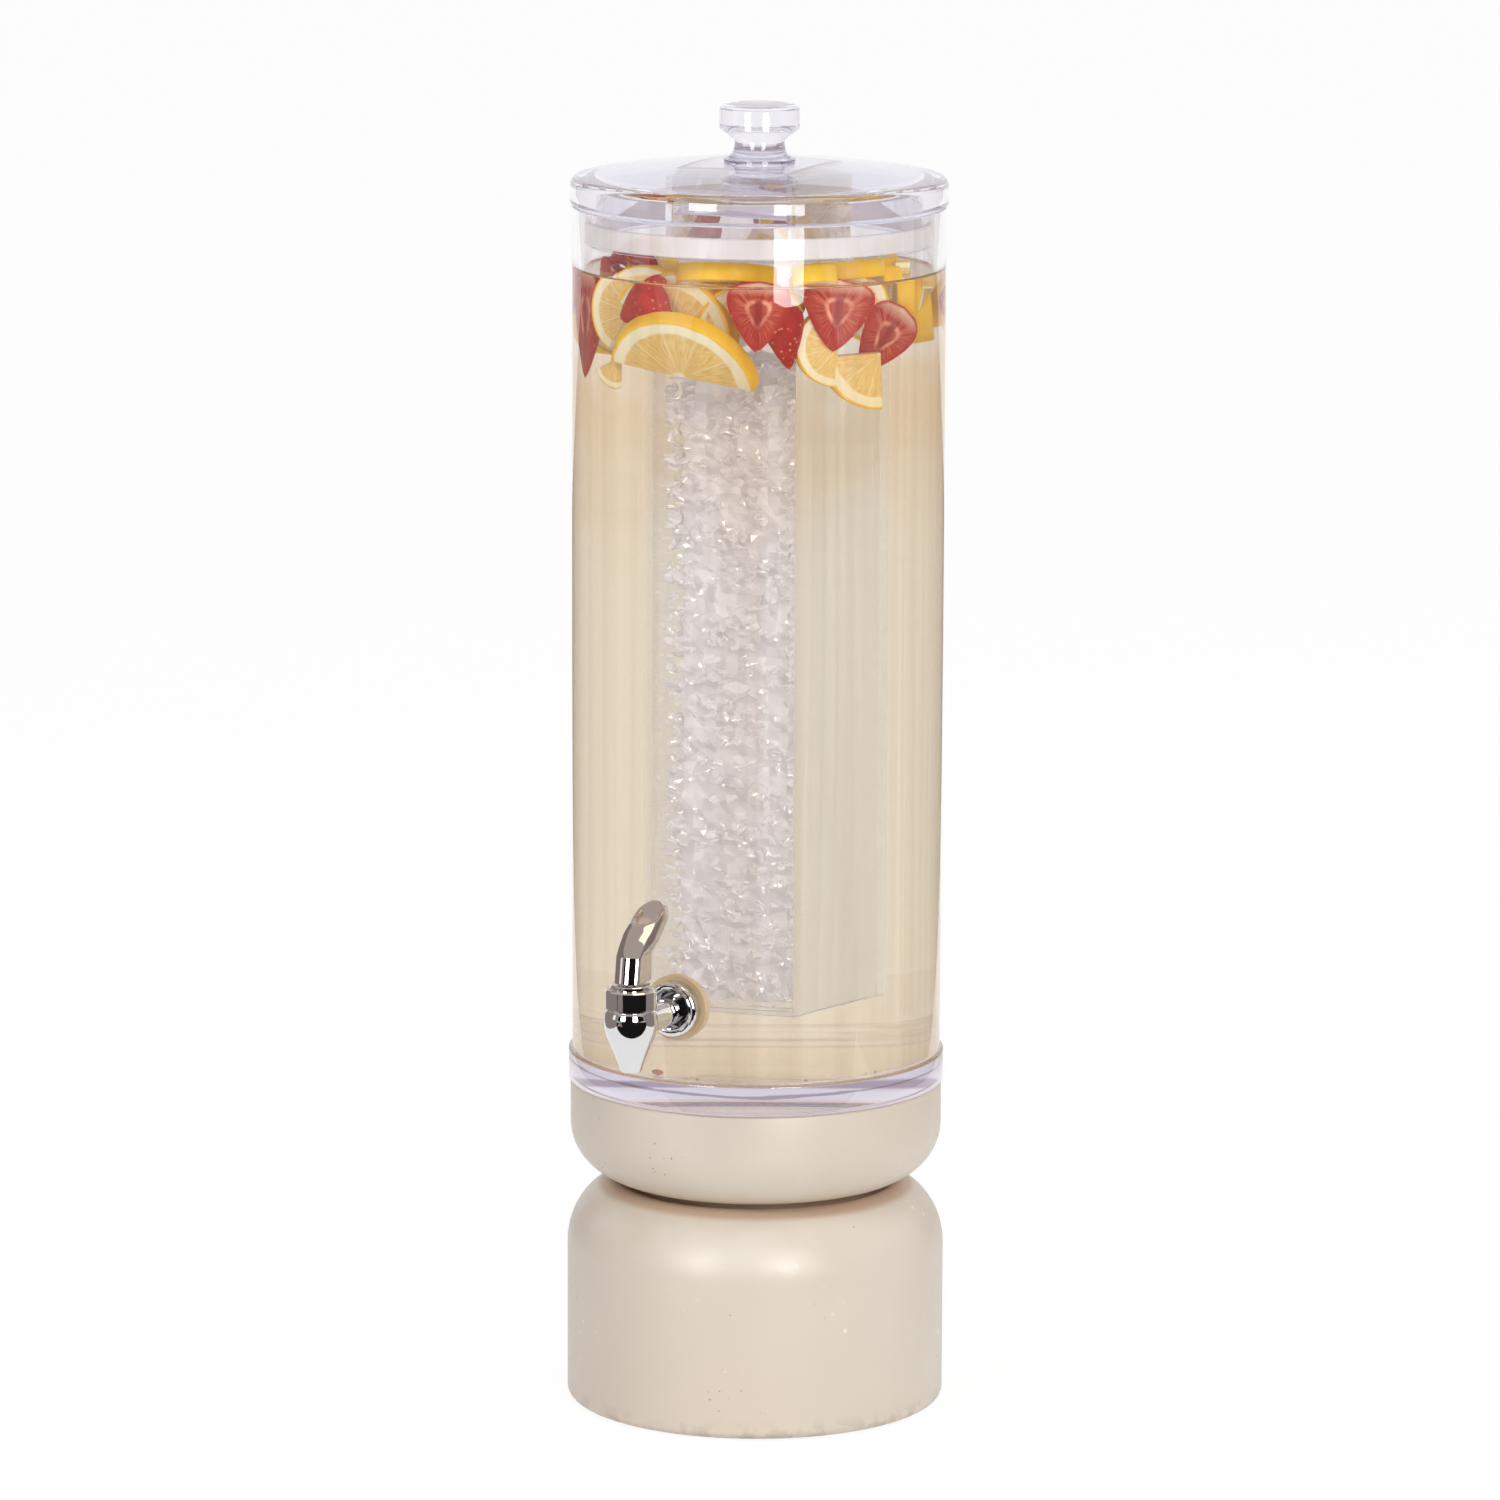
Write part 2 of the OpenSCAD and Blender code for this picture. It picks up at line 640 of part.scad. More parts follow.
// Height of the dome's inside at radius r, and the points along it from the knob's peg to the skirt
function ceiling(r) = dome(r) - lid_wall;
function ceiling_line() =
    [for (i = [0:big_steps]) let (r = peg_r + (skirt_in - peg_r) * i / big_steps) [r, ceiling(r)]];

// Clear lid: domed shell, rim and the skirt that plugs the tube
module lid_cover() {
    dome_steps = big_steps;
    color("lavender", 0.45) rotate_extrude() polygon(concat(
        ceiling_line(),
        [[skirt_in, skirt_z], [skirt_r, skirt_z], [skirt_r, gasket_z], [gasket_in_r, gasket_z]],
        [[gasket_in_r, gasket_z + gasket_h], [skirt_r, gasket_z + gasket_h], [skirt_r, lid_z]],
        arc(lid_r - lid_under_round, lid_z + lid_under_round, lid_under_round, lid_under_round, -90, 0,
            small_steps),
        arc(lid_r - lid_round, lid_rim_top - lid_round, lid_round, lid_round, 0, rim_sweep, small_steps),
        [for (i = [0:dome_steps]) let (r = dome_r + (boss_r - dome_r) * i / dome_steps) [r, dome(r)]],
        [[boss_r, dome_top], [peg_r, dome_top]]));
}

// Clear knob with the peg that is bonded into the lid
module lid_knob() {
    neck_z = dome_top + knob_foot_h;
    head_z = neck_z + knob_cone_h;
    top_z = dome_top + knob_h;
    color("lavender", 0.45) rotate_extrude() polygon(concat(
        [[0, ceiling(peg_r)], [peg_r, ceiling(peg_r)], [peg_r, dome_top]],
        [[knob_foot_d / 2, dome_top]],
        bend([knob_foot_d / 2, dome_top + knob_foot_edge], [knob_neck_d / 2, dome_top + knob_foot_edge * 2],
             [knob_neck_d / 2, neck_z - knob_foot_edge], small_steps),
        bend([knob_neck_d / 2, neck_z], [knob_neck_d / 2 + 1, neck_z + 1], [knob_d / 2, head_z], small_steps),
        arc(knob_d / 2 - knob_round, top_z - knob_round, knob_round, knob_round, 0, 90, small_steps),
        [[0, top_z]]));
}

// Soft gasket round the lid's skirt
module lid_gasket() {
    color("whitesmoke") translate([0, 0, gasket_z]) difference() {
        cylinder(r = gasket_r, h = gasket_h);
        translate([0, 0, -over]) cylinder(r = gasket_in_r, h = gasket_h + 2 * over);
    }
}

// Square socket under the lid that the ice tube is pushed over
module chamber_socket() {
    color("lavender", 0.45) difference() {
        square_ring(socket_w, socket_w - 2 * socket_wall, socket_z, dome_top - socket_z);
        square_ring(socket_w + 2 * over, band_in_w, band_z, band_h);
        rotate_extrude() polygon(concat(
            [[0, ceiling(peg_r)]], ceiling_line(), [[skirt_in, dome_top + over], [0, dome_top + over]]));
    }
}

// Soft band that grips the ice tube
module chamber_band() {
    color("whitesmoke") square_ring(band_w, band_in_w, band_z, band_h);
}

// Square clear tube for the ice
module ice_tube() {
    color("lavender", 0.35) square_ring(ice_w, ice_in, ice_z, ice_top - ice_z);
}

// Plate bonded into the lower end of the ice tube
module ice_tube_floor() {
    color("lavender", 0.35) translate([-ice_in / 2, -ice_in / 2, ice_z]) cube([ice_in, ice_in, ice_floor_t]);
}

base_pad();
base_drum();
base_bowl();
base_bolt();
base_washer();
base_insert();
base_dowels();
vessel_floor();
vessel_tube();
tap_body();
tap_flange();
tap_outer_washer();
tap_inner_washer();
tap_nut();
tap_bonnet();
tap_cap();
tap_spring();
tap_stem();
tap_plug();
tap_lever();
lever_pin();
lid_cover();
lid_knob();
lid_gasket();
chamber_socket();
chamber_band();
ice_tube();
ice_tube_floor();
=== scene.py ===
import math
import random

import bpy
from mathutils import Matrix, Vector


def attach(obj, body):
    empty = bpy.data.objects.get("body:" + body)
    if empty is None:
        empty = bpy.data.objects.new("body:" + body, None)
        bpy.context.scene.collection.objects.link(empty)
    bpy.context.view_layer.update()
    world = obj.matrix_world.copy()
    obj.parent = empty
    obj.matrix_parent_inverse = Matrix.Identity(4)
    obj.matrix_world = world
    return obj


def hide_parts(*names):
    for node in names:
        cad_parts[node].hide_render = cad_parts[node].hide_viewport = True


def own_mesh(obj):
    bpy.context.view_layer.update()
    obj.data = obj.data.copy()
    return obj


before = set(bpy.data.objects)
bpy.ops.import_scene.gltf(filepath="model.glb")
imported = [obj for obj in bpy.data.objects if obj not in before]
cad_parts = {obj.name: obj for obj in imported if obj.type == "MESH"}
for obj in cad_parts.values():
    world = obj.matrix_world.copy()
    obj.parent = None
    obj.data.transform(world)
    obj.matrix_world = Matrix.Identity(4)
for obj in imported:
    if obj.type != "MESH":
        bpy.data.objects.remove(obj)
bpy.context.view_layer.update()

# Camera: stands about four metres off, to the right of the tap and above the lid, and looks slightly down.
# A long lens keeps the tube's sides parallel as in the photograph.
VIEW_PLACE = (1.7879, -3.9327, 1.18)
VIEW_TURN, VIEW_TILT = 24.5, 79.31  # degrees
VIEW_ROLL = 0.0039  # radians
lens = bpy.data.cameras.new("camera")
lens.sensor_width = 36
lens.lens = 192.1
camera = bpy.data.objects.new("camera", lens)
bpy.context.collection.objects.link(camera)
camera.matrix_world = (
    Matrix.Translation(VIEW_PLACE)
    @ Matrix.Rotation(math.radians(VIEW_TURN), 4, "Z")
    @ Matrix.Rotation(math.radians(VIEW_TILT), 4, "X")
    @ Matrix.Rotation(VIEW_ROLL, 4, "Z")
)
bpy.context.scene.camera = camera
bpy.context.scene.view_settings.view_transform = "Standard"
# Light crosses many clear walls here, so a path may bend and mirror often before it ends.
cycles = bpy.context.scene.cycles
cycles.max_bounces = cycles.glossy_bounces = cycles.transmission_bounces = 40
cycles.transparent_max_bounces = 28
cycles.caustics_reflective = cycles.caustics_refractive = False

# Studio: a white sweep, even light from all sides and soft boxes in front. The room behind the camera
# is dark and its walls are taupe, which chrome and clear edges need to show their shape.


def add(mat, kind, inputs, **props):
    """Adds a shader node; an input is a plain value or another node's output."""
    made = mat.node_tree.nodes.new("ShaderNode" + kind)
    for key, value in props.items():
        setattr(made, key, value)
    for key, value in inputs.items():
        if isinstance(value, bpy.types.NodeSocket):
            mat.node_tree.links.new(value, made.inputs[key])
        else:
            made.inputs[key].default_value = value
    return made


def between(mat, value, lo, hi, to_lo=0.0, to_hi=1.0):
    """Maps a value from one range to another, held at its ends."""
    return add(mat, "MapRange", {"Value": value, "From Min": lo, "From Max": hi,
                                 "To Min": to_lo, "To Max": to_hi}).outputs[0]


def backdrop(mat):
    """One for a ray that shows the backdrop: from the camera, off a mirror or through a clear piece."""
    path = add(mat, "LightPath", {})
    seen = path.outputs["Is Camera Ray"]
    for kind in ("Is Glossy Ray", "Is Transmission Ray"):
        seen = add(mat, "Math", {0: seen, 1: path.outputs[kind]}, operation="MAXIMUM").outputs[0]
    return seen


AMBIENT = 0.52
world = bpy.data.worlds.new("studio")
world.use_nodes = True
bpy.context.scene.world = world
sky = world.node_tree.nodes["Background"]
sky.inputs["Color"].default_value = (1, 1, 1, 1)
world.node_tree.links.new(between(world, backdrop(world), 0, 1, AMBIENT, 1.0), sky.inputs["Strength"])

bpy.ops.object.select_all(action="DESELECT")
bpy.ops.mesh.primitive_plane_add(size=60)
floor = bpy.context.active_object
floor.name = "floor"
sweep = bpy.data.materials.new("sweep")
sweep.use_nodes = True
paper = sweep.node_tree.nodes["Principled BSDF"]
paper.inputs["Base Color"].default_value = (0.9, 0.9, 0.9, 1)
paper.inputs["Roughness"].default_value = 0.9
paper.inputs["Specular IOR Level"].default_value = 0.0
glow = add(sweep, "Emission", {"Color": (1, 1, 1, 1), "Strength": 1.06})
shown = add(sweep, "MixShader", {0: between(sweep, backdrop(sweep), 0, 1, 0, 0.86),
                                 1: paper.outputs[0], 2: glow.outputs[0]})
sweep.node_tree.links.new(shown.outputs[0], sweep.node_tree.nodes["Material Output"].inputs["Surface"])
floor.data.materials.append(sweep)


def soft_box(name, angle, far, height, wide, tall, power):
    """A rectangular lamp that faces the vessel from an angle round it."""
    lamp = bpy.data.lights.new(name, "AREA")
    lamp.shape = "RECTANGLE"
    lamp.size, lamp.size_y, lamp.energy = wide, tall, power
    box = bpy.data.objects.new(name, lamp)
    bpy.context.collection.objects.link(box)
    a = math.radians(angle)
    place = Vector((far * math.sin(a), -far * math.cos(a), height))
    aim = Vector((0, 0, 0.4)) - place
    box.matrix_world = Matrix.Translation(place) @ aim.to_track_quat("-Z", "Y").to_matrix().to_4x4()
    box.visible_glossy = box.visible_transmission = False


# Each has its angle to the right of the tap, its distance and height, its size in metres, and its watts.
soft_box("key_box", 50, 2.6, 1.35, 1.1, 0.8, 27)
soft_box("fill_box", -15.5, 2.2, 1.9, 0.9, 0.8, 16)
soft_box("rim_box", 130, 2.6, 1.3, 0.8, 1.2, 7)

# What a clear piece shows of a dark side of the room, which would be too dark in it otherwise.
SEEN_THROUGH = (0.82, 0.80, 0.83)


def wall(name, angle, far, wide, low, high, shade, through=False):
    """A side of the room that only mirrors see, or also what is mirrored inside clear pieces."""
    bpy.ops.mesh.primitive_plane_add(size=1)
    side = bpy.context.active_object
    side.name = name
    a = math.radians(angle)
    side.matrix_world = (
        Matrix.Translation((far * math.sin(a), -far * math.cos(a), (low + high) / 2))
        @ Matrix.Rotation(a, 4, "Z")
        @ Matrix.Rotation(math.pi / 2, 4, "X")
        @ Matrix.Diagonal((wide, high - low, 1, 1))
    )
    cloth = bpy.data.materials.new(name)
    cloth.use_nodes = True
    dim = add(cloth, "Emission", {"Color": (*shade, 1), "Strength": 1.0})
    if through:
        inside = add(cloth, "LightPath", {}).outputs["Is Transmission Ray"]
        pale = add(cloth, "Emission", {"Color": (*SEEN_THROUGH, 1)})
        dim = add(cloth, "MixShader", {0: inside, 1: dim.outputs[0], 2: pale.outputs[0]})
    cloth.node_tree.links.new(dim.outputs[0], cloth.node_tree.nodes["Material Output"].inputs["Surface"])
    side.data.materials.append(cloth)
    side.visible_camera = side.visible_diffuse = side.visible_shadow = False
    side.visible_transmission = through
    return side


def laid(name, angle, near, far, wide, height, shade):
    """A level sheet of the room that only mirrors and clear edges see."""
    sheet = wall(name, 0, 0, 1, 0, 1, shade)
    a = math.radians(angle)
    sheet.matrix_world = (
        Matrix.Rotation(a, 4, "Z")
        @ Matrix.Translation((0, -(near + far) / 2, height))
        @ Matrix.Diagonal((wide, far - near, 1, 1))
    )


BLACK, TAUPE, WINDOW = (0.012, 0.011, 0.011), (0.30, 0.255, 0.24), (12.0, 12.0, 12.0)
ROOM_HIGH, RIGHT, LEFT = 3.4, 128, -79
wall("dark_room", VIEW_TURN, 5.0, 16, 0, ROOM_HIGH, BLACK, through=True)
wall("right_wall", RIGHT, 4.0, 8, 0, ROOM_HIGH, TAUPE)
wall("left_wall", LEFT, 4.0, 8, 0, ROOM_HIGH, TAUPE)
# The dark floor is an oval, so that the tap's bulb mirrors a round dark spot.
bpy.ops.mesh.primitive_circle_add(vertices=96, radius=0.5, fill_type="NGON")
oval = bpy.context.active_object
dark_floor = wall("dark_floor", 0, 0, 1, 0, 1, BLACK, through=True)
oval.data.materials.append(dark_floor.data.materials[0])
dark_floor.data = oval.data
bpy.data.objects.remove(oval)
dark_floor.matrix_world = (Matrix.Rotation(math.radians(27), 4, "Z") @ Matrix.Translation((0, -3.3, 0.004))
                           @ Matrix.Diagonal((6.4, 5.76, 1, 1)))
laid("right_floor", RIGHT, 0.8, 4.0, 6.0, 0.003, TAUPE)
laid("left_floor", LEFT, 0.8, 4.0, 6.0, 0.002, TAUPE)
laid("left_pool", -21, 1.15, 3.0, 0.5, 0.005, TAUPE)
laid("skylight", 95, 0.5, 2.6, 1.7, ROOM_HIGH - 0.02, (2.0, 1.8, 1.35))
laid("ceiling", VIEW_TURN, -7, 7, 14, ROOM_HIGH, (0.58, 0.51, 0.455))
wall("right_window", 42.3, 3.3, 1.06, 0.2, 1.9, WINDOW)
wall("left_window", -9.5, 3.3, 1.0, 0.30, 1.9, WINDOW)
wall("left_gap", -52, 3.5, 0.8, 0.2, 1.75, (1.2, 1.2, 1.2))

# Base pad: a felt disc glued into a recess under the drum, so that the base doesn't mark a table.
# It stands a millimetre proud of the drum and is shown as the CAD piece, with a nap in its finish.


def paint(name, values):
    """Starts a material and sets plain values on its Principled shader."""
    mat = bpy.data.materials.new(name)
    mat.use_nodes = True
    for key, value in values.items():
        mat.node_tree.nodes["Principled BSDF"].inputs[key].default_value = value
    return mat


def feed(mat, socket, value):
    """Links a value into the Principled shader."""
    mat.node_tree.links.new(value, mat.node_tree.nodes["Principled BSDF"].inputs[socket])


def blend(mat, share, low, high):
    """Mixes two colours by a share and returns the colour."""
    made = mat.node_tree.nodes.new("ShaderNodeMix")
    made.data_type = "RGBA"
    for at, value in ((0, share), (6, low), (7, high)):
        if isinstance(value, bpy.types.NodeSocket):
            mat.node_tree.links.new(value, made.inputs[at])
        else:
            made.inputs[at].default_value = value if at == 0 else (*value, 1)
    return made.outputs[2]


# One group gives every finish its broad tone, its fine grain and a matching bump.
grain = bpy.data.node_groups.new("grain", "ShaderNodeTree")
for label, first in (("Scale", 40.0), ("Fine Scale", 600.0), ("Bump", 0.1)):
    socket = grain.interface.new_socket(label, in_out="INPUT", socket_type="NodeSocketFloat")
    socket.default_value = first
for label, kind in (("Tone", "Float"), ("Fine", "Float"), ("Normal", "Vector")):
    grain.interface.new_socket(label, in_out="OUTPUT", socket_type="NodeSocket" + kind)
group_in = grain.nodes.new("NodeGroupInput")
group_out = grain.nodes.new("NodeGroupOutput")
group_place = grain.nodes.new("ShaderNodeTexCoord")
group_bump = grain.nodes.new("ShaderNodeBump")
group_bump.inputs["Distance"].default_value = 0.001
for label, scale, detail in (("Tone", "Scale", 5.0), ("Fine", "Fine Scale", 3.0)):
    noise = grain.nodes.new("ShaderNodeTexNoise")
    noise.inputs["Detail"].default_value = detail
    grain.links.new(group_place.outputs["Object"], noise.inputs["Vector"])
    grain.links.new(group_in.outputs[scale], noise.inputs["Scale"])
    grain.links.new(noise.outputs[0], group_out.inputs[label])
    if label == "Fine":
        grain.links.new(noise.outputs[0], group_bump.inputs["Height"])
grain.links.new(group_in.outputs["Bump"], group_bump.inputs["Strength"])
grain.links.new(group_bump.outputs["Normal"], group_out.inputs["Normal"])


def grained(mat, scale, fine, bump):
    """Adds the grain group to a material, with its bump in place."""
    made = add(mat, "Group", {}, node_tree=grain)
    for key, value in (("Scale", scale), ("Fine Scale", fine), ("Bump", bump)):
        made.inputs[key].default_value = value
    feed(mat, "Normal", made.outputs["Normal"])
    return made


def toned(name, values, grains, low, high, by="Tone"):
    """A finish that drifts between two colours over its grain: a broad scale, a fine one and a bump."""
    mat = paint(name, values)
    made = grained(mat, *grains)
    feed(mat, "Base Color", blend(mat, made.outputs[by], low, high))
    return mat


def dress(node, mat):
    """Puts a finish on a CAD piece that is shown as it is."""
    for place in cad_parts[node].material_slots:
        place.material = mat


felt = toned("felt", {"Roughness": 0.95}, (60, 1500, 0.6), (0.16, 0.14, 0.12), (0.30, 0.27, 0.23), by="Fine")
dress("base_pad", felt)

# Base drum: a block of wood turned to a drum with a wide rounded shoulder, then given a cream wash.
# A counterbore underneath takes the bolt, and a seat on top takes the bowl.


def times(mat, a, b):
    """Multiplies two values, so that a mark shows only where both are high."""
    return add(mat, "Math", {0: a, 1: b}, operation="MULTIPLY").outputs[0]


def place_of(mat):
    """Where a point lies on the piece, in metres."""
    return add(mat, "TexCoord", {}).outputs["Object"]


def cloud(mat, scale, detail=4.0, vector=None):
    """A soft random value over the surface."""
    inputs = {"Vector": vector or place_of(mat), "Scale": scale, "Detail": detail}
    return add(mat, "TexNoise", inputs).outputs[0]


def arc(x, z, rx, rz, a0, a1, n):
    """Points on a rounding, in millimetres, from one angle to another."""
    return [(x + rx * math.cos(math.radians(a0 + (a1 - a0) * i / n)),
             z + rz * math.sin(math.radians(a0 + (a1 - a0) * i / n))) for i in range(n + 1)]


def turned(name, outline, steps=128, ring=False, angle=35):
    """Spins an outline of radius and height, in millimetres, round the upright axis."""
    points = [Vector((r / 1000, 0, z / 1000)) for r, z in outline + outline[:1] * ring]
    bpy.ops.object.select_all(action="DESELECT")
    bpy.ops.mesh.primitive_plane_add(size=0.001)
    obj = bpy.context.active_object
    obj.name = obj.data.name = name
    bpy.ops.object.mode_set(mode="EDIT")
    bpy.ops.mesh.select_mode(type="VERT")
    bpy.ops.mesh.select_all(action="SELECT")
    bpy.ops.mesh.merge(type="CENTER")
    bpy.ops.transform.translate(value=points[0])
    for a, b in zip(points, points[1:]):
        bpy.ops.mesh.extrude_region_move(TRANSFORM_OT_translate={"value": b - a})
    bpy.ops.mesh.select_all(action="SELECT")
    bpy.ops.mesh.spin(steps=steps, angle=2 * math.pi, center=(0, 0, 0), axis=(0, 0, 1))
    bpy.ops.mesh.select_all(action="SELECT")
    bpy.ops.mesh.remove_doubles(threshold=1e-6)
    bpy.ops.mesh.dissolve_degenerate(threshold=1e-7)
    bpy.ops.mesh.select_all(action="SELECT")
    bpy.ops.mesh.normals_make_consistent(inside=False)
    bpy.ops.object.mode_set(mode="OBJECT")
    bpy.ops.object.shade_smooth_by_angle(angle=math.radians(angle))
    return obj


wash = paint("cream_wash", {"Specular IOR Level": 0.45})
turn = grained(wash, 9, 240, 0.10)
up = add(wash, "SeparateXYZ", {0: place_of(wash)}).outputs[2]
tone = between(wash, turn.outputs["Tone"], 0.35, 0.68)
cream = blend(wash, tone, (0.685, 0.60, 0.50), (0.76, 0.685, 0.585))
cream = blend(wash, between(wash, cloud(wash, 3.0), 0.45, 0.65), cream, (0.73, 0.625, 0.525))
# Marks in the wash: dark pits, pale chips, darker patches at the foot, painted shade in the groove and a
# painted highlight on the shoulder.
for scale, near, far, patch, low, high, mark in ((170.0, 0.07, 0.12, 26.0, 0.58, 0.63, (0.42, 0.32, 0.24)),
                                                 (120.0, 0.10, 0.20, 22.0, 0.60, 0.66, (0.88, 0.84, 0.78))):
    spot = add(wash, "TexVoronoi", {"Vector": place_of(wash), "Scale": scale}).outputs["Distance"]
    spot = times(wash, between(wash, spot, near, far, 1, 0), between(wash, cloud(wash, patch), low, high))
    cream = blend(wash, spot, cream, mark)
# The drum is darker in patches over its lowest centimetre.
darker_foot = times(wash, between(wash, up, 0.002, 0.012, 1, 0), between(wash, cloud(wash, 90.0), 0.50, 0.58))
cream = blend(wash, darker_foot, cream, (0.60, 0.51, 0.42))
# Painted shade: the groove under the bowl is darkened to brown.
groove_shade = times(wash, between(wash, up, 0.1195, 0.1215), between(wash, up, 0.129, 0.1255))
cream = blend(wash, times(wash, groove_shade, 0.85), cream, (0.56, 0.385, 0.27))
# Painted highlight: the shoulder is lightened in a patchy band, standing in for sheen.
shoulder_sheen = times(wash, between(wash, up, 0.092, 0.106), between(wash, up, 0.1215, 0.113))
shoulder_sheen = times(wash, shoulder_sheen, between(wash, cloud(wash, 12.0), 0.42, 0.62))
feed(wash, "Base Color", blend(wash, shoulder_sheen, cream, (0.775, 0.71, 0.62)))
feed(wash, "Roughness", between(wash, turn.outputs["Fine"], 0.3, 0.7, 0.32, 0.48))

BOLT_R, PAD_R, PAD_TOP, SEAT = 5.5, 88, 2.5, 122
drum = turned("drum", [(BOLT_R, 59), (15, 59), (15, PAD_TOP), (PAD_R, PAD_TOP), (PAD_R, 1)]
              + arc(99.2, 6, 5, 5, -90, 0, 10)
              + arc(71.2, 88, 33, 37, 0, 77, 28)
              + arc(77.7, 123.3, 0.6, 0.9, 60, 180, 5)
              + [(77.1, SEAT), (BOLT_R, SEAT)], steps=160, ring=True)
drum.data.materials.append(wash)
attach(drum, "base")
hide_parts("base_drum")

# Base bowl: turned from the same wood, rounded underneath, with a straight foot that leaves a shadow groove.
# Its top is recessed for the step under the vessel, and the insert for the bolt is set in its foot.
INSERT_R, INSERT_TOP = 8, 147
bowl = turned("bowl", [(0, 178), (83.6, 178), (83.6, 181)]
              + arc(101.6, 180.1, 0.9, 0.9, 90, 0, 5)
              + arc(69.5, 157, 33, 31, 0, -90, 26)
              + [(69.5, SEAT), (BOLT_R, SEAT), (BOLT_R, 123), (INSERT_R, 123),
                 (INSERT_R, INSERT_TOP), (0, INSERT_TOP)], steps=160)
bowl.data.materials.append(wash)
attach(bowl, "base")
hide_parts("base_bowl")

# Bolt, washer, insert and dowels: the bolt draws the bowl down on the drum, and the dowels keep it from
# turning. Steel bolt and washer, a brass insert screwed into the bowl's foot and two wooden pegs, all hidden.
steel = toned("steel", {"Metallic": 1.0, "Roughness": 0.3}, (30, 900, 0.05),
              (0.52, 0.52, 0.53), (0.66, 0.66, 0.67))
brass = toned("brass", {"Metallic": 1.0, "Roughness": 0.32}, (40, 900, 0.05),
              (0.62, 0.45, 0.20), (0.76, 0.60, 0.30))
peg_wood = toned("dowel_wood", {"Roughness": 0.6}, (120, 700, 0.15), (0.45, 0.30, 0.17), (0.66, 0.48, 0.30))
dress("base_bolt", steel)
dress("base_washer", steel)
dress("base_insert", brass)
dress("base_dowels", peg_wood)

# Vessel floor: a thick clear acrylic disc with a locating step, turned and polished, cemented under the tube.
# Its edge's colour holds painted reflections: tan bands at top and bottom for the drink and the wood, a
# wavering dark line between them, and a paler band under that line.
ACRYLIC_IOR = 1.49
CLEAR_TINT, DISC_TINT = (0.972, 0.964, 0.987), (0.70, 0.65, 0.755)


def clear(name, tint, ior=ACRYLIC_IOR):
    """A see-through finish that lets the lamps' light through to what is inside."""
    mat = paint(name, {"Transmission Weight": 1.0, "IOR": ior, "Roughness": 0.0})
    wave = grained(mat, 8, 30, 0.0)
    feed(mat, "Base Color", blend(mat, wave.outputs["Tone"], tint, [0.3 + 0.7 * c for c in tint]))
    see = add(mat, "BsdfTransparent", {"Color": (*[0.5 + 0.5 * c for c in tint], 1)})
    path = add(mat, "LightPath", {})
    lamps = {0: path.outputs["Is Shadow Ray"], 1: path.outputs["Is Diffuse Ray"]}
    soft = add(mat, "Math", lamps, operation="MAXIMUM").outputs[0]
    body = mat.node_tree.nodes["Principled BSDF"].outputs[0]
    lit = add(mat, "MixShader", {0: soft, 1: body, 2: see.outputs[0]})
    mat.node_tree.links.new(lit.outputs[0], mat.node_tree.nodes["Material Output"].inputs["Surface"])
    return mat


acrylic = clear("acrylic", CLEAR_TINT)
sawn = toned("sawn_acrylic", {"Roughness": 0.4, "IOR": ACRYLIC_IOR}, (200, 1500, 0.2),
             (0.74, 0.70, 0.83), (0.86, 0.83, 0.92))
slab = clear("thick_acrylic", DISC_TINT)
up = add(slab, "SeparateXYZ", {0: place_of(slab)}).outputs[2]
sway = between(slab, cloud(slab, 9.0), 0.3, 0.7, 0.1922, 0.1946)
off = add(slab, "Math", {0: up, 1: sway}, operation="SUBTRACT").outputs[0]
off = add(slab, "Math", {0: off}, operation="ABSOLUTE").outputs[0]
thick = between(slab, cloud(slab, 16.0), 0.4, 0.65, 0.0004, 0.0019)
streak_reflection = add(slab, "Math", {0: off, 1: thick}, operation="DIVIDE").outputs[0]
# Painted reflections on the disc's edge: a paler band low down, a wavering dark streak, and tan lines at the
# top and bottom.
painted_reflections = blend(slab, between(slab, up, 0.186, 0.191), (0.84, 0.795, 0.855), DISC_TINT)
painted_reflections = blend(slab, between(slab, streak_reflection, 0.6, 1.1, 1, 0), painted_reflections, (0.24, 0.18, 0.25))
painted_reflections = blend(slab, between(slab, up, 0.1978, 0.1988), painted_reflections, (0.60, 0.44, 0.34))
feed(slab, "Base Color", blend(slab, between(slab, up, 0.1828, 0.1818), painted_reflections, (0.56, 0.42, 0.36)))
disc = turned("vessel_base", [(0, 178.6), (83, 178.6), (83, 181.3)]
              + arc(101.9, 182.9, 1.6, 1.6, -90, 0, 8)
              + arc(101.9, 197.7, 1.6, 1.6, 0, 90, 8) + [(0, 199.3)], steps=192)
disc.data.materials.append(slab)
disc.data.materials.append(acrylic)
for face in disc.data.polygons:
    face.material_index = int(abs(face.normal.z) > 0.99)
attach(disc, "vessel")
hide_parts("vessel_floor")

# Vessel tube: a length of extruded clear acrylic tube with polished ends, drilled low in front for the tap.
# Faint upright lines from the extrusion show in it, and towards its right edge, as the camera sees it, darker
# streaks are painted shade.
TUBE_R, BORE_R, TUBE_LOW, TUBE_HIGH, EASE = 101.6, 95.25, 199.2, 665.3, 0.4
DRILL_LOW, DRILL_HIGH = 222, 260
TAP_Y, TAP_Z = -0.1614, 0.2408
tube = turned("vessel_wall", [(BORE_R, TUBE_LOW), (TUBE_R, TUBE_LOW),
                              (TUBE_R, DRILL_LOW), (TUBE_R, DRILL_HIGH),
                              (TUBE_R, TUBE_HIGH - EASE), (TUBE_R - EASE, TUBE_HIGH),
                              (BORE_R + EASE, TUBE_HIGH), (BORE_R, TUBE_HIGH - EASE),
                              (BORE_R, DRILL_HIGH), (BORE_R, DRILL_LOW)], steps=192, ring=True)
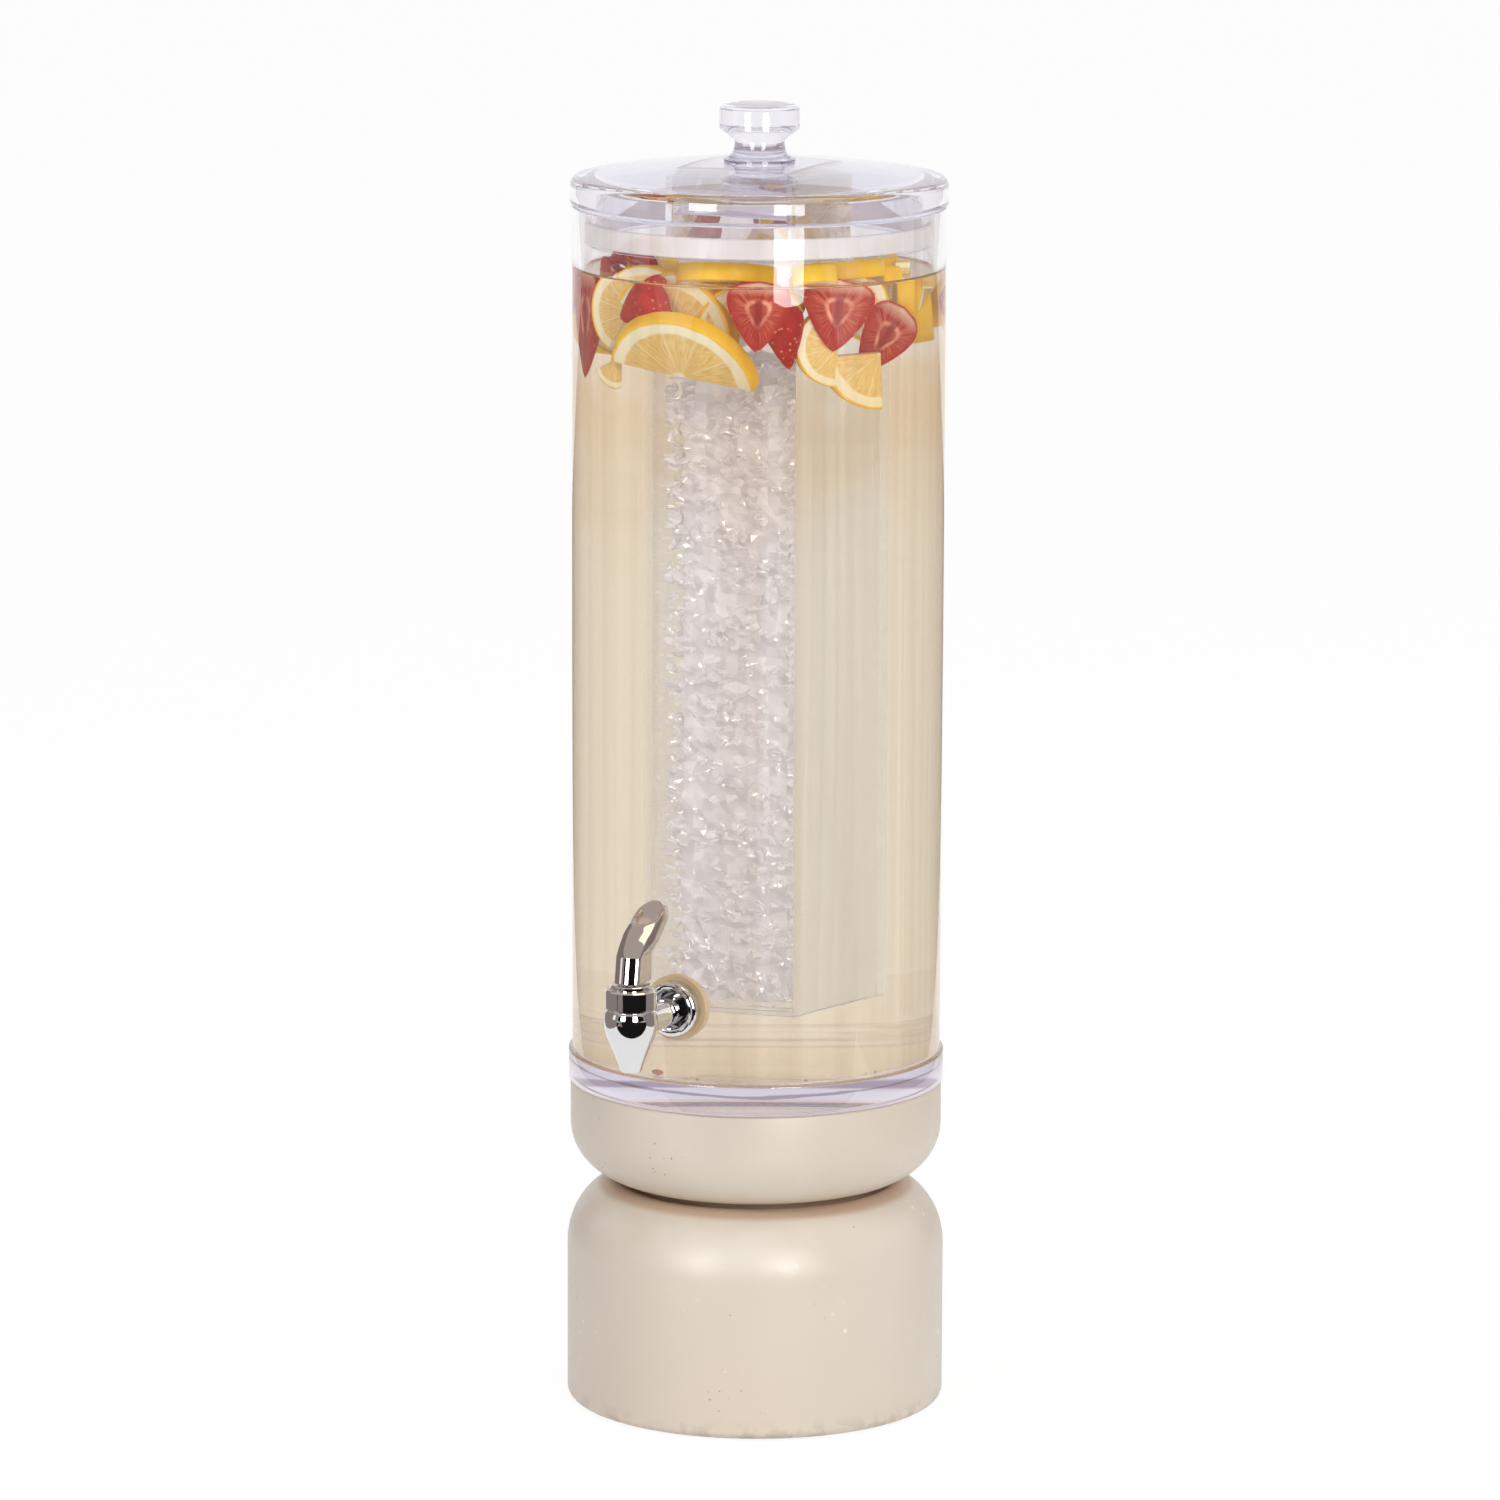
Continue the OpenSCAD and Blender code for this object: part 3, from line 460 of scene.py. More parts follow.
bpy.ops.mesh.primitive_cylinder_add(vertices=48, radius=0.0065, depth=0.03, location=(0, -0.098, TAP_Z),
                                    rotation=(math.pi / 2, 0, 0))
drill = bpy.context.active_object
hole = tube.modifiers.new("tap_hole", "BOOLEAN")
hole.object, hole.operation, hole.solver = drill, "DIFFERENCE", "EXACT"
bpy.context.view_layer.objects.active = tube
bpy.ops.object.modifier_apply(modifier="tap_hole")
bpy.data.objects.remove(drill)
tube.data.materials.clear()
extruded = clear("extruded_acrylic", CLEAR_TINT)
drawn_out = {0: place_of(extruded), 1: (1.0, 1.0, 0.01)}
lines = add(extruded, "VectorMath", drawn_out, operation="MULTIPLY").outputs[0]
drawn = between(extruded, cloud(extruded, 80.0, 4.0, lines), 0.34, 0.52)
streaked = blend(extruded, drawn, (0.90, 0.855, 0.84), (0.99, 0.985, 0.995))
# Painted shade: darker streaks over the tube's right side as the camera sees it.
rightward = {0: place_of(extruded), 1: (0.910, 0.415, 0)}
across = add(extruded, "VectorMath", rightward, operation="DOT_PRODUCT").outputs["Value"]
right_edge_shade = times(extruded, between(extruded, across, 0.062, 0.078),
                between(extruded, cloud(extruded, 150.0, 3.0, lines), 0.58, 0.42))
feed(extruded, "Base Color", blend(extruded, right_edge_shade, streaked, (0.86, 0.845, 0.84)))
tube.data.materials.append(extruded)
tube.data.materials.append(sawn)
for face in tube.data.polygons:
    face.material_index = int(abs(face.normal.z) > 0.5)
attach(tube, "vessel")
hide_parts("vessel_tube")

# Tap: chrome on cast metal. The body screws through the wall and is drawn up by a nut inside it.
# Amber rubber washers seal both sides, and a black rubber plug on the stem closes the waterway.
CHROME = {"Metallic": 1.0, "Roughness": 0.05}
CHROME_GRAIN = (50, 400, 0.01)
chrome = toned("chrome", CHROME, CHROME_GRAIN, (0.68, 0.675, 0.685), (0.76, 0.755, 0.765))
amber = toned("amber_rubber", {"Roughness": 0.4, "Transmission Weight": 0.12, "IOR": 1.45}, (60, 500, 0.05),
              (0.78, 0.54, 0.30), (0.87, 0.66, 0.41))
rubber = toned("black_rubber", {"Roughness": 0.6}, (60, 500, 0.1), (0.03, 0.03, 0.03), (0.07, 0.07, 0.07))
for node in ("tap_flange", "tap_bonnet", "tap_cap"):
    dress(node, chrome)
for node in ("tap_outer_washer", "tap_inner_washer"):
    dress(node, amber)
for node in ("tap_nut", "tap_stem", "lever_pin"):
    dress(node, steel)
dress("tap_plug", rubber)

# Tap body: a bulb with a tapering spout and a round arm, cast in one piece with the threaded shank.
# The spout is bored from below, and the collar and cap close the bulb's top.


def bend(p, q, r, n):
    """Points on a smooth bend from p to r that leans towards q."""
    return [tuple((1 - t) ** 2 * a + 2 * t * (1 - t) * b + t * t * c for a, b, c in zip(p, q, r))
            for t in (i / n for i in range(n + 1))]


arm = turned("arm", [(0, 0), (7.7, 0), (7.7, 53.4), (6, 53.4), (6, 80.15), (3.8, 80.15), (3.8, 66), (0, 66)],
             steps=64)
arm.data.transform(Matrix.Translation((0, TAP_Y, TAP_Z)) @ Matrix.Rotation(-math.pi / 2, 4, "X"))
casting = turned("tap_casting", [(0, 229), (4.6, 229), (4.6, 217.5), (4.8, 217.2), (5.4, 217.2)]
                 + bend((5.6, 217.5), (7.4, 223.8), (11.5, 232.7), 14)
                 + bend((11.7, 233.5), (14.3, 238.0), (14.3, 244.6), 12)[1:]
                 + bend((14.3, 244.9), (14.2, 250.3), (12.6, 251.5), 8)
                 + [(11.6, 251.5), (11.6, 257), (0, 257)], steps=96)
casting.data.transform(Matrix.Translation((0, TAP_Y, 0)))
arm.select_set(True)
bpy.context.view_layer.objects.active = casting
bpy.ops.object.join()
casting.data.materials.append(chrome)
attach(casting, "vessel")
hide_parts("tap_body")

# Spring: wound from steel wire round the stem. Its upper end bears on the cap; in the real tap the plug
# shortens it as the stem lifts, but here it keeps one length.
spring = bpy.data.objects.new("spring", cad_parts["tap_spring"].data.copy())
bpy.context.collection.objects.link(spring)
bpy.ops.object.select_all(action="DESELECT")
spring.select_set(True)
bpy.context.view_layer.objects.active = spring
bpy.ops.object.mode_set(mode="EDIT")
bpy.ops.mesh.select_all(action="SELECT")
bpy.ops.mesh.remove_doubles(threshold=1e-6)
bpy.ops.object.mode_set(mode="OBJECT")
bpy.ops.object.shade_smooth_by_angle(angle=math.radians(60))
spring.data.materials.clear()
spring.data.materials.append(steel)
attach(spring, "vessel")
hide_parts("tap_spring")
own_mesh(spring)

# Lever: cast in one piece with its heel and chromed, with a rounded front under a crease and a thumb dish
# at its end. It turns on a pin through the stem, and its heel bears on the cap.


def ramp(k, start, count):
    """Grows from 0 to 1 over so many rings past a ring."""
    return min(max((k - start) / count, 0), 1)


# The rings run from the heel to the tip; each has a front and a back point about the pin, in millimetres.
PIN_Z, ROUND = 0.2710, 56
rings = [((-6.3 + 2.2 * t, -5.7 + 13.9 * t), (10.9 + 0.5 * t, -5.2 + 14.6 * t))
         for t in (0, 0.04, 0.2, 0.4, 0.6, 0.8, 0.97, 1)]
heel = len(rings)
rings += list(zip(bend((-3.9, 8.8), (6.8, 24.2), (32.0, 31.6), 26),
                  bend((11.5, 10.2), (17.4, 13), (32.0, 25.0), 26)))
for a in (0.4, 0.8, 1.15, 1.4):
    y, half = 32.0 + 3.7 * math.sin(a), 3.3 * math.cos(a)
    rings.append(((y, 28.3 + half), (y, 28.3 - half)))
bpy.ops.object.select_all(action="DESELECT")
bpy.ops.mesh.primitive_circle_add(vertices=ROUND, radius=1, fill_type="NGON")
lever = bpy.context.active_object
lever.name = lever.data.name = "lever"
bpy.ops.object.mode_set(mode="EDIT")
bpy.ops.mesh.select_all(action="SELECT")
for _ in rings[1:]:
    bpy.ops.mesh.extrude_region_move(TRANSFORM_OT_translate={"value": (0, 0, 1)})
bpy.ops.object.mode_set(mode="OBJECT")
for vertex in lever.data.vertices:
    # Across a ring, u runs from side to side and v from back to front, on a square with eased corners.
    k, a = round(vertex.co.z), math.atan2(vertex.co.y, vertex.co.x)
    side = max(abs(math.cos(a)), abs(math.sin(a)))
    u, v = math.cos(a) / side, math.sin(a) / side
    soft = 0.04 + 0.2 * ramp(k, heel, 8)
    u, v = u * math.sqrt(1 - soft * v * v), v * math.sqrt(1 - soft * u * u)
    (fy, fz), (by, bz) = rings[k]
    y, z = (fy + by) / 2 + (fy - by) / 2 * v, (fz + bz) / 2 + (fz - bz) / 2 * v
    # The arm widens from the heel and is rounded at its end.
    wide = 7.3 + 1.9 * ramp(k, heel, 10)
    if y > 24:
        wide *= math.sqrt(max(1 - ((y - 24) / 12) ** 2, 0))
    x = u * wide
    # Its front swells, and the dish is sunk into that with a low lip round it.
    if v > 0:
        swell = 2.6 * (1 - u * u) * v
        slope = math.radians(50) * ramp(k, heel - 1, 4)
        y, z = y - swell * math.cos(slope), z + swell * math.sin(slope)
    if heel <= k and v > 0:
        ring = math.hypot(x / 6.7, (y - 19.5) / 10.5)
        z += 0.4 * math.exp(-((ring - 1.1) / 0.12) ** 2) - 3.6 * max(1 - ring * ring, 0) ** 0.8
    vertex.co = (x / 1000, TAP_Y + y / 1000, PIN_Z + z / 1000)
smooth = lever.modifiers.new("smooth", "SUBSURF")
smooth.levels = smooth.render_levels = 2
bpy.ops.object.modifier_apply(modifier="smooth")
bpy.ops.object.mode_set(mode="EDIT")
bpy.ops.mesh.select_all(action="SELECT")
bpy.ops.mesh.normals_make_consistent(inside=False)
bpy.ops.object.mode_set(mode="OBJECT")
bpy.ops.object.shade_smooth()
# Painted shade: the lever's chrome is a darker, warmer copy of the tap's chrome.
shaded_chrome = toned("lever_chrome", CHROME, CHROME_GRAIN, (0.58, 0.54, 0.54), (0.66, 0.62, 0.615))
lever.data.materials.append(shaded_chrome)
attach(lever, "lever")
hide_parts("tap_lever")

# Drink: a cloudy lemonade that fills the tube to about 34 mm under its rim, clearer where the fruit floats.
# It is one body that climbs the wall a little at its edge, with a finish that changes in steps of height.
DRINK_R, DRINK_LOW, DRINK_TOP, WATER_IOR = 95.4, 199.15, 631.2, 1.333
levels = [DRINK_LOW, 228, 470, 490, 510, 530, 550, 570, 590, 630.6]
drink = turned("drink", [(0, DRINK_LOW)] + [(DRINK_R, z) for z in levels]
               + arc(92.4, 633.6, 3, 2.4, 0, -90, 6)[1:] + [(0, DRINK_TOP)], steps=192)
for i in range(len(levels) - 1):
    share = i / (len(levels) - 2)
    clearness = 0.84 + 0.157 * share if i else 0.74
    mat = clear(f"drink_{i}", (0.97, 0.93, 0.86), WATER_IOR)
    mat.node_tree.nodes["Principled BSDF"].inputs["Transmission Weight"].default_value = clearness
    rise = add(mat, "SeparateXYZ", {0: place_of(mat)}).outputs[2]
    stir = between(mat, cloud(mat, 14.0), 0.3, 0.7, -0.03, 0.03)
    rise = add(mat, "Math", {0: rise, 1: stir}, operation="ADD").outputs[0]
    low = blend(mat, between(mat, rise, 0.20, 0.30), (0.95, 0.85, 0.66), (0.925, 0.83, 0.645))
    tan = blend(mat, between(mat, rise, 0.48, 0.55), low, (0.87, 0.70, 0.46))
    feed(mat, "Base Color", blend(mat, between(mat, rise, 0.57, 0.60), tan, (0.97, 0.93, 0.85)))
    drink.data.materials.append(mat)
for face in drink.data.polygons:
    face.material_index = sum(face.center.z * 1000 > z for z in levels[1:-1])
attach(drink, "vessel")

# Lemons: slices cut across the fruit and halved or quartered, which float and lean in the top of the drink.
# Thin yellow rind, thick white pith, and flesh in ten segments with pale skins between them.


def stand(obj, turn, far, height, roll, lean, face):
    """Moves a mesh to its place: degrees round the axis, millimetres out and up, then its own tilts."""
    a = math.radians(turn)
    spot = (far / 1000 * math.sin(a), -far / 1000 * math.cos(a), height / 1000)
    obj.data.transform(Matrix.Translation(spot)
                       @ Matrix.Rotation(a + math.radians(face), 4, "Z")
                       @ Matrix.Rotation(math.radians(lean), 4, "X")
                       @ Matrix.Rotation(math.radians(roll), 4, "Y"))


def lemon(name, radius, thick, sweep, *place):
    """A slice of lemon of so many degrees, with its own coordinates kept for the pattern on it."""
    bpy.ops.object.select_all(action="DESELECT")
    bpy.ops.mesh.primitive_circle_add(vertices=64, radius=radius / 1000, fill_type="NGON")
    obj = bpy.context.active_object
    obj.name = obj.data.name = name
    bpy.ops.object.mode_set(mode="EDIT")
    bpy.ops.mesh.select_all(action="SELECT")
    bpy.ops.mesh.bisect(plane_co=(0, 0, 0), plane_no=(0, 1, 0), clear_inner=True)
    if sweep < 180:
        a = math.radians(sweep)
        bpy.ops.mesh.select_all(action="SELECT")
        bpy.ops.mesh.bisect(plane_co=(0, 0, 0), plane_no=(math.sin(a), -math.cos(a), 0), clear_inner=True)
    bpy.ops.mesh.select_all(action="SELECT")
    bpy.ops.mesh.extrude_region_move(TRANSFORM_OT_translate={"value": (0, 0, thick / 1000)})
    bpy.ops.mesh.select_all(action="SELECT")
    bpy.ops.transform.translate(value=(0, 0, -thick / 2000))
    bpy.ops.mesh.normals_make_consistent(inside=False)
    bpy.ops.mesh.select_all(action="DESELECT")
    bpy.ops.mesh.select_mode(type="EDGE")
    bpy.ops.mesh.edges_select_sharp(sharpness=math.radians(40))
    bpy.ops.mesh.bevel(offset=0.0009, segments=3, affect="EDGES")
    bpy.ops.object.mode_set(mode="OBJECT")
    own = obj.data.attributes.new("slice", "FLOAT_VECTOR", "POINT")
    for vertex, kept in zip(obj.data.vertices, own.data):
        kept.vector = vertex.co * 1000 / radius
    bpy.ops.object.shade_smooth_by_angle(angle=math.radians(35))
    obj.data.transform(Matrix.Rotation(math.pi / 2, 4, "X"))
    stand(obj, *place)
    obj.data.materials.append(citrus)
    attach(obj, "vessel")


SEGMENTS = 10
citrus = paint("lemon", {"Roughness": 0.3, "Specular IOR Level": 0.12})
zest = grained(citrus, 60, 420, 0.25)
own = add(citrus, "SeparateXYZ", {0: add(citrus, "Attribute", {}, attribute_name="slice").outputs["Vector"]})
flat = add(citrus, "CombineXYZ", {0: own.outputs[0], 1: own.outputs[1]}).outputs[0]
out = add(citrus, "VectorMath", {0: flat}, operation="LENGTH").outputs["Value"]
sway = between(citrus, zest.outputs["Tone"], 0.3, 0.7, -0.02, 0.02)
out = add(citrus, "Math", {0: out, 1: sway}, operation="ADD").outputs[0]
bearing = add(citrus, "Math", {0: own.outputs[1], 1: own.outputs[0]}, operation="ARCTAN2").outputs[0]
wedge = times(citrus, bearing, SEGMENTS / (2 * math.pi))
wedge = add(citrus, "Math", {0: wedge}, operation="FRACT").outputs[0]
skin = add(citrus, "Math", {0: wedge, 1: 0.5}, operation="PINGPONG").outputs[0]
skin = between(citrus, skin, 0.02, 0.06, 1, 0)
sac = add(citrus, "CombineXYZ", {0: times(citrus, bearing, 7.0), 1: times(citrus, out, 2.0)}).outputs[0]
juice = between(citrus, cloud(citrus, 3.0, 2.0, sac), 0.35, 0.65)
flesh = blend(citrus, juice, (0.82, 0.52, 0.14), (0.94, 0.71, 0.28))
flesh = blend(citrus, times(citrus, skin, 0.45), flesh, (1.0, 0.90, 0.60))
flesh = blend(citrus, between(citrus, out, 0.05, 0.10, 1, 0), flesh, (1.0, 0.92, 0.70))
pith = blend(citrus, between(citrus, out, 0.76, 0.80), flesh, (1.0, 0.93, 0.66))
rind = blend(citrus, zest.outputs["Tone"], (0.96, 0.49, 0.01), (1.0, 0.68, 0.04))
feed(citrus, "Base Color", blend(citrus, between(citrus, out, 0.935, 0.965), pith, rind))

slices = [
    # radius, thickness, sweep, then: turn, far, height, roll, lean, face
    (39, 9, 180, -8.3, 68, 583, 11, 35, 6),
    (25, 9, 180, -33, 70, 613, -58, 0, 30),
    (34, 9, 180, -15, 64, 602, 30, 4, 8),
    (27, 10, 180, 7, 56, 634, 0, 78, 6),
    (22, 10, 180, 78, 56, 634, 0, 80, -10),
    (15, 10, 120, 46, 72, 634, -30, 70, 0),
    (22, 8, 180, 56, 74, 598, -84, 0, -16),
    (31, 8, 90, 75, 76, 593, 178, 0, -30),
    (24, 11, 90, 100, 66, 620, 45, 0, -146),
    (15, 8, 90, 106, 78, 622, -10, 0, 10),
    (17, 8, 60, -35, 78, 588, 152, 0, 20),
    (28, 9, 180, 22, 60, 606, -25, 10, 0),
    (27, 9, 180, 62, 60, 614, 30, 0, -20),
    (24, 9, 180, -44, 58, 628, 30, 20, 10),
]
random.seed(11)
for k in range(9):
    slices.append((random.uniform(24, 32), 9, random.choice((90, 180, 180)),
                   128 + 21 * k, random.uniform(60, 68), random.uniform(596, 624),
                   random.uniform(-180, 180), random.uniform(-15, 15), random.uniform(-12, 12)))
for k, row in enumerate(slices):
    lemon(f"lemon_{k + 1}", *row)

# Strawberries: halved along their length and dropped in with the lemons, cut face or skin to the wall.
# Red flesh with fine pale rays, a pale line round the core, and seeds set in the skin.


def girth(t):
    """How wide a strawberry is at a share of its length from the tip."""
    return 1.06 * t ** 0.72 * (1 - t ** 5) ** 0.5


def berry(name, wide, long, skin_out, *place):
    """Half a strawberry with its tip down, cut face or skin to the outside."""
    rows = [i / 20 for i in range(21)]
    obj = turned(name, [(girth(t) * wide / 2, (t - 0.5) * long) for t in rows], steps=36, angle=50)
    bpy.ops.object.mode_set(mode="EDIT")
    bpy.ops.mesh.select_all(action="SELECT")
    bpy.ops.mesh.bisect(plane_co=(0, 0, 0), plane_no=(0, 1, 0), use_fill=True, clear_inner=True)
    bpy.ops.object.mode_set(mode="OBJECT")
    for face in obj.data.polygons:
        face.select = face.normal.y < -0.95 and abs(face.center.y) < 1e-5
    bpy.ops.object.mode_set(mode="EDIT")
    bpy.ops.mesh.select_mode(type="FACE")
    bpy.ops.mesh.poke()
    bpy.ops.object.mode_set(mode="OBJECT")
    own = obj.data.attributes.new("berry", "FLOAT_VECTOR", "POINT")
    for vertex, kept in zip(obj.data.vertices, own.data):
        near = abs(vertex.co.x) < wide / 8000 and abs(vertex.co.z) < long / 4000
        middle = near and abs(vertex.co.y) < 1e-6
        kept.vector = (0 if middle else 1, vertex.co.z * 1000 / long + 0.5, vertex.co.x * 2000 / wide)
    bpy.ops.object.shade_smooth_by_angle(angle=math.radians(50))
    if skin_out:
        obj.data.transform(Matrix.Rotation(math.pi, 4, "Z"))
    stand(obj, *place)
    obj.data.materials.clear()
    obj.data.materials.append(ripe)
    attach(obj, "vessel")


ripe = paint("strawberry", {"Roughness": 0.4, "Specular IOR Level": 0.04})
dimple = grained(ripe, 120, 500, 0.25)
own = add(ripe, "SeparateXYZ", {0: add(ripe, "Attribute", {}, attribute_name="berry").outputs["Vector"]})
out, tall = own.outputs[0], own.outputs[1]
above = add(ripe, "Math", {0: tall, 1: 0.55}, operation="SUBTRACT").outputs[0]
bearing = add(ripe, "Math", {0: times(ripe, own.outputs[2], 0.5), 1: above}, operation="ARCTAN2").outputs[0]
vein = add(ripe, "CombineXYZ", {0: times(ripe, out, 0.6), 1: times(ripe, bearing, 10.0)}).outputs[0]
flesh = blend(ripe, dimple.outputs["Tone"], (0.35, 0.007, 0.003), (0.48, 0.019, 0.006))
streak = times(ripe, between(ripe, cloud(ripe, 2.0, 2.0, vein), 0.47, 0.56), between(ripe, out, 0.96, 0.7))
flesh = blend(ripe, times(ripe, streak, 0.5), flesh, (0.84, 0.24, 0.12))
halo = times(ripe, between(ripe, out, 0.26, 0.32), between(ripe, out, 0.46, 0.37))
halo = times(ripe, halo, between(ripe, dimple.outputs["Tone"], 0.35, 0.6, 0.3, 0.85))
flesh = blend(ripe, halo, flesh, (0.95, 0.44, 0.28))
flesh = blend(ripe, times(ripe, between(ripe, tall, 0.79, 0.96), 0.8), flesh, (0.97, 0.68, 0.47))
aside = add(ripe, "Math", {0: own.outputs[2]}, operation="ABSOLUTE").outputs[0]
slit = times(ripe, between(ripe, aside, 0.05, 0.13, 1, 0), between(ripe, out, 0.55, 0.35))
flesh = blend(ripe, times(ripe, slit, 0.85), flesh, (0.30, 0.010, 0.006))
seed = add(ripe, "TexVoronoi", {"Vector": place_of(ripe), "Scale": 300.0}).outputs["Distance"]
tone = between(ripe, dimple.outputs["Tone"], 0.3, 0.7)
peel = blend(ripe, tone, (0.40, 0.009, 0.004), (0.58, 0.020, 0.008))
peel = blend(ripe, between(ripe, seed, 0.14, 0.22, 1, 0), peel, (0.72, 0.36, 0.10))
feed(ripe, "Base Color", blend(ripe, between(ripe, out, 0.90, 0.985), flesh, peel))

halves = [
    # width, length, skin out, then: turn, far, height, roll, lean, face
    (44, 38, False, 24.1, 86, 616, 3, 0, 0),
    (50, 39, False, 54, 80, 615, 8, 0, -18),
    (41, 42, False, 77, 76, 599, 36, 0, -42),
    (38, 34, True, -23, 76, 617, 62, 0, 5),
    (36, 62, False, -60, 80, 603, 0, 0, 12),
    (29, 36, True, 34.5, 72, 604, -8, 0, 0),
    (40, 40, False, -46, 72, 636, 88, 66, 20),
]
for k in range(6):
    halves.append((random.uniform(28, 36), random.uniform(32, 40), False,
                   140 + 30 * k, 86, random.uniform(598, 620),
                   random.uniform(-50, 50), 0, random.uniform(-6, 6)))
for k, row in enumerate(halves):
    berry(f"strawberry_{k + 1}", *row)

# Crumbs: a scrap of strawberry and a few seeds that have sunk to the floor by the wall.
# Each is a small flattened lump that lies on the floor disc.
CRUMB_REACH, CRUMB_FLOOR = 93.4, 199.4
pip = toned("seed", {"Roughness": 0.6}, (300, 2000, 0.2), (0.16, 0.09, 0.05), (0.34, 0.20, 0.10))
crumbs = [(ripe, 2.6, -10), (pip, 0.9, 67), (pip, 0.7, 63), (pip, 0.7, 5), (pip, 0.8, 41)]
for k, (mat, size, turn) in enumerate(crumbs):
    bpy.ops.object.select_all(action="DESELECT")
    bpy.ops.mesh.primitive_ico_sphere_add(subdivisions=2, radius=size / 1000)
    crumb = bpy.context.active_object
    crumb.name = crumb.data.name = f"crumb_{k + 1}"
    crumb.data.transform(Matrix.Diagonal((1.4, 0.8, 0.6, 1)))
    stand(crumb, turn, CRUMB_REACH - size, CRUMB_FLOOR + 0.6 * size, 0, 0, 0)
    bpy.ops.object.shade_smooth()
    crumb.data.materials.append(mat)
    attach(crumb, "vessel")

# Lid: a clear acrylic shell, domed, with a thick rounded rim and a skirt that plugs the tube.
# Moulded in one piece, with a groove round the skirt for the gasket, and sawn square underneath.
DOME_EDGE, DOME_RISE, DOME_R, SHELL = 681.4, 8.4, 96.3, 6.5
SKIRT_IN, SKIRT_OUT, SKIRT_LOW = 88.85, 93.05, 645.6
GROOVE_R, GROOVE_LOW, GROOVE_HIGH = 91.45, 647.2, 658.2
RIM_FROM, SAWN_TO = 0.088, 0.66


def dome(r):
    """Height of the lid's outside at a radius, in millimetres."""
    return DOME_EDGE + DOME_RISE * (1 - (r / DOME_R) ** 2)


cover = turned("lid", [(r, dome(r) - SHELL) for r in range(0, 88, 4)]
               + [(SKIRT_IN, dome(SKIRT_IN) - SHELL), (SKIRT_IN, SKIRT_LOW), (SKIRT_OUT, SKIRT_LOW),
                  (SKIRT_OUT, GROOVE_LOW), (GROOVE_R, GROOVE_LOW), (GROOVE_R, GROOVE_HIGH),
                  (SKIRT_OUT, GROOVE_HIGH), (SKIRT_OUT, 665.6)]
               + arc(100.8, 667.6, 2.0, 2.0, -90, 0, 8) + arc(97.8, 676.4, 5.0, 5.0, 0, 85, 14)
               + [(r, dome(r)) for r in range(94, 0, -3)] + [(0, dome(0))], steps=192)
moulded = clear("moulded_acrylic", (0.66, 0.64, 0.755))
rim_acrylic = clear("rim_acrylic", (0.90, 0.885, 0.95))
for finish in (moulded, sawn, rim_acrylic):
    cover.data.materials.append(finish)
for face in cover.data.polygons:
    if math.hypot(*face.center.xy) > RIM_FROM:
        face.material_index = 1 if face.normal.z < -0.9 and face.center.z < SAWN_TO else 2
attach(cover, "lid")
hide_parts("lid_cover")

# Knob: turned from clear acrylic rod with a waist for the fingers, polished and cemented on the dome.
# Its foot flares, and its head has a flat top with a rounded edge.
knob = turned("knob", [(0, 689.2), (19.5, 689.2)]
              + bend((19.5, 691.0), (13.7, 692.2), (13.7, 699.5), 10)
              + bend((13.7, 700.7), (14.7, 701.7), (21.8, 707.3), 8)
              + arc(18.6, 717.0, 3.2, 3.2, 0, 90, 10) + [(0, 720.2)], steps=128)
knob.data.materials.append(rim_acrylic)
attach(knob, "lid")
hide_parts("lid_knob")

# Gasket: a milky silicone band in the groove round the skirt, which closes on the tube's wall.
# Light passes it, so the fruit behind it shows faintly.
SEAL_IN, SEAL_OUT, SEAL_LOW, SEAL_HIGH = 91.4, 94.95, 647.15, 658.25
milk = toned("pale_silicone", {"Roughness": 0.3, "IOR": 1.41, "Alpha": 0.62}, (50, 300, 0.03),
             (0.97, 0.925, 0.875), (1.0, 0.965, 0.92))
seal = turned("gasket", [(SEAL_IN, SEAL_LOW), (94.4, SEAL_LOW), (SEAL_OUT, 647.8), (SEAL_OUT, 657.6),
                         (94.4, SEAL_HIGH), (SEAL_IN, SEAL_HIGH)], steps=160, ring=True)
seal.data.materials.append(milk)
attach(seal, "lid")
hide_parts("lid_gasket")

# Chamber socket: a square ring cut from acrylic tube and cemented under the lid.
# A silicone band on it grips the ice tube, which is pushed up over it.


def square_tube(name, outer, inner, low, high, edge):
    """An upright square tube, in millimetres, with its edges eased."""
    bpy.ops.object.select_all(action="DESELECT")
    bpy.ops.mesh.primitive_cube_add(size=1)
    obj = bpy.context.active_object
    obj.name = obj.data.name = name
    bpy.ops.object.mode_set(mode="EDIT")
    bpy.ops.mesh.select_mode(type="FACE")
    bpy.ops.mesh.select_all(action="SELECT")
    bpy.ops.transform.resize(value=(outer / 1000, outer / 1000, (high - low) / 1000))
    bpy.ops.transform.translate(value=(0, 0, (high + low) / 2000))
    bpy.ops.mesh.select_all(action="DESELECT")
    bpy.ops.object.mode_set(mode="OBJECT")
    for face in obj.data.polygons:
        face.select = abs(face.normal.z) > 0.9
    bpy.ops.object.mode_set(mode="EDIT")
    bpy.ops.mesh.inset(thickness=(outer - inner) / 2000)
    bpy.ops.mesh.bridge_edge_loops()
    bpy.ops.mesh.select_all(action="SELECT")
    bpy.ops.mesh.bevel(offset=edge / 1000, segments=2, affect="EDGES")
    bpy.ops.mesh.select_all(action="SELECT")
    bpy.ops.mesh.normals_make_consistent(inside=False)
    bpy.ops.object.mode_set(mode="OBJECT")
    bpy.ops.object.shade_smooth_by_angle(angle=math.radians(30))
    return obj


socket_ring = square_tube("socket", outer=68.6, inner=60.6, low=663.17, high=683.2, edge=0.4)
socket_ring.data.materials.append(acrylic)
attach(socket_ring, "lid")
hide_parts("chamber_socket")
dress("chamber_band", milk)

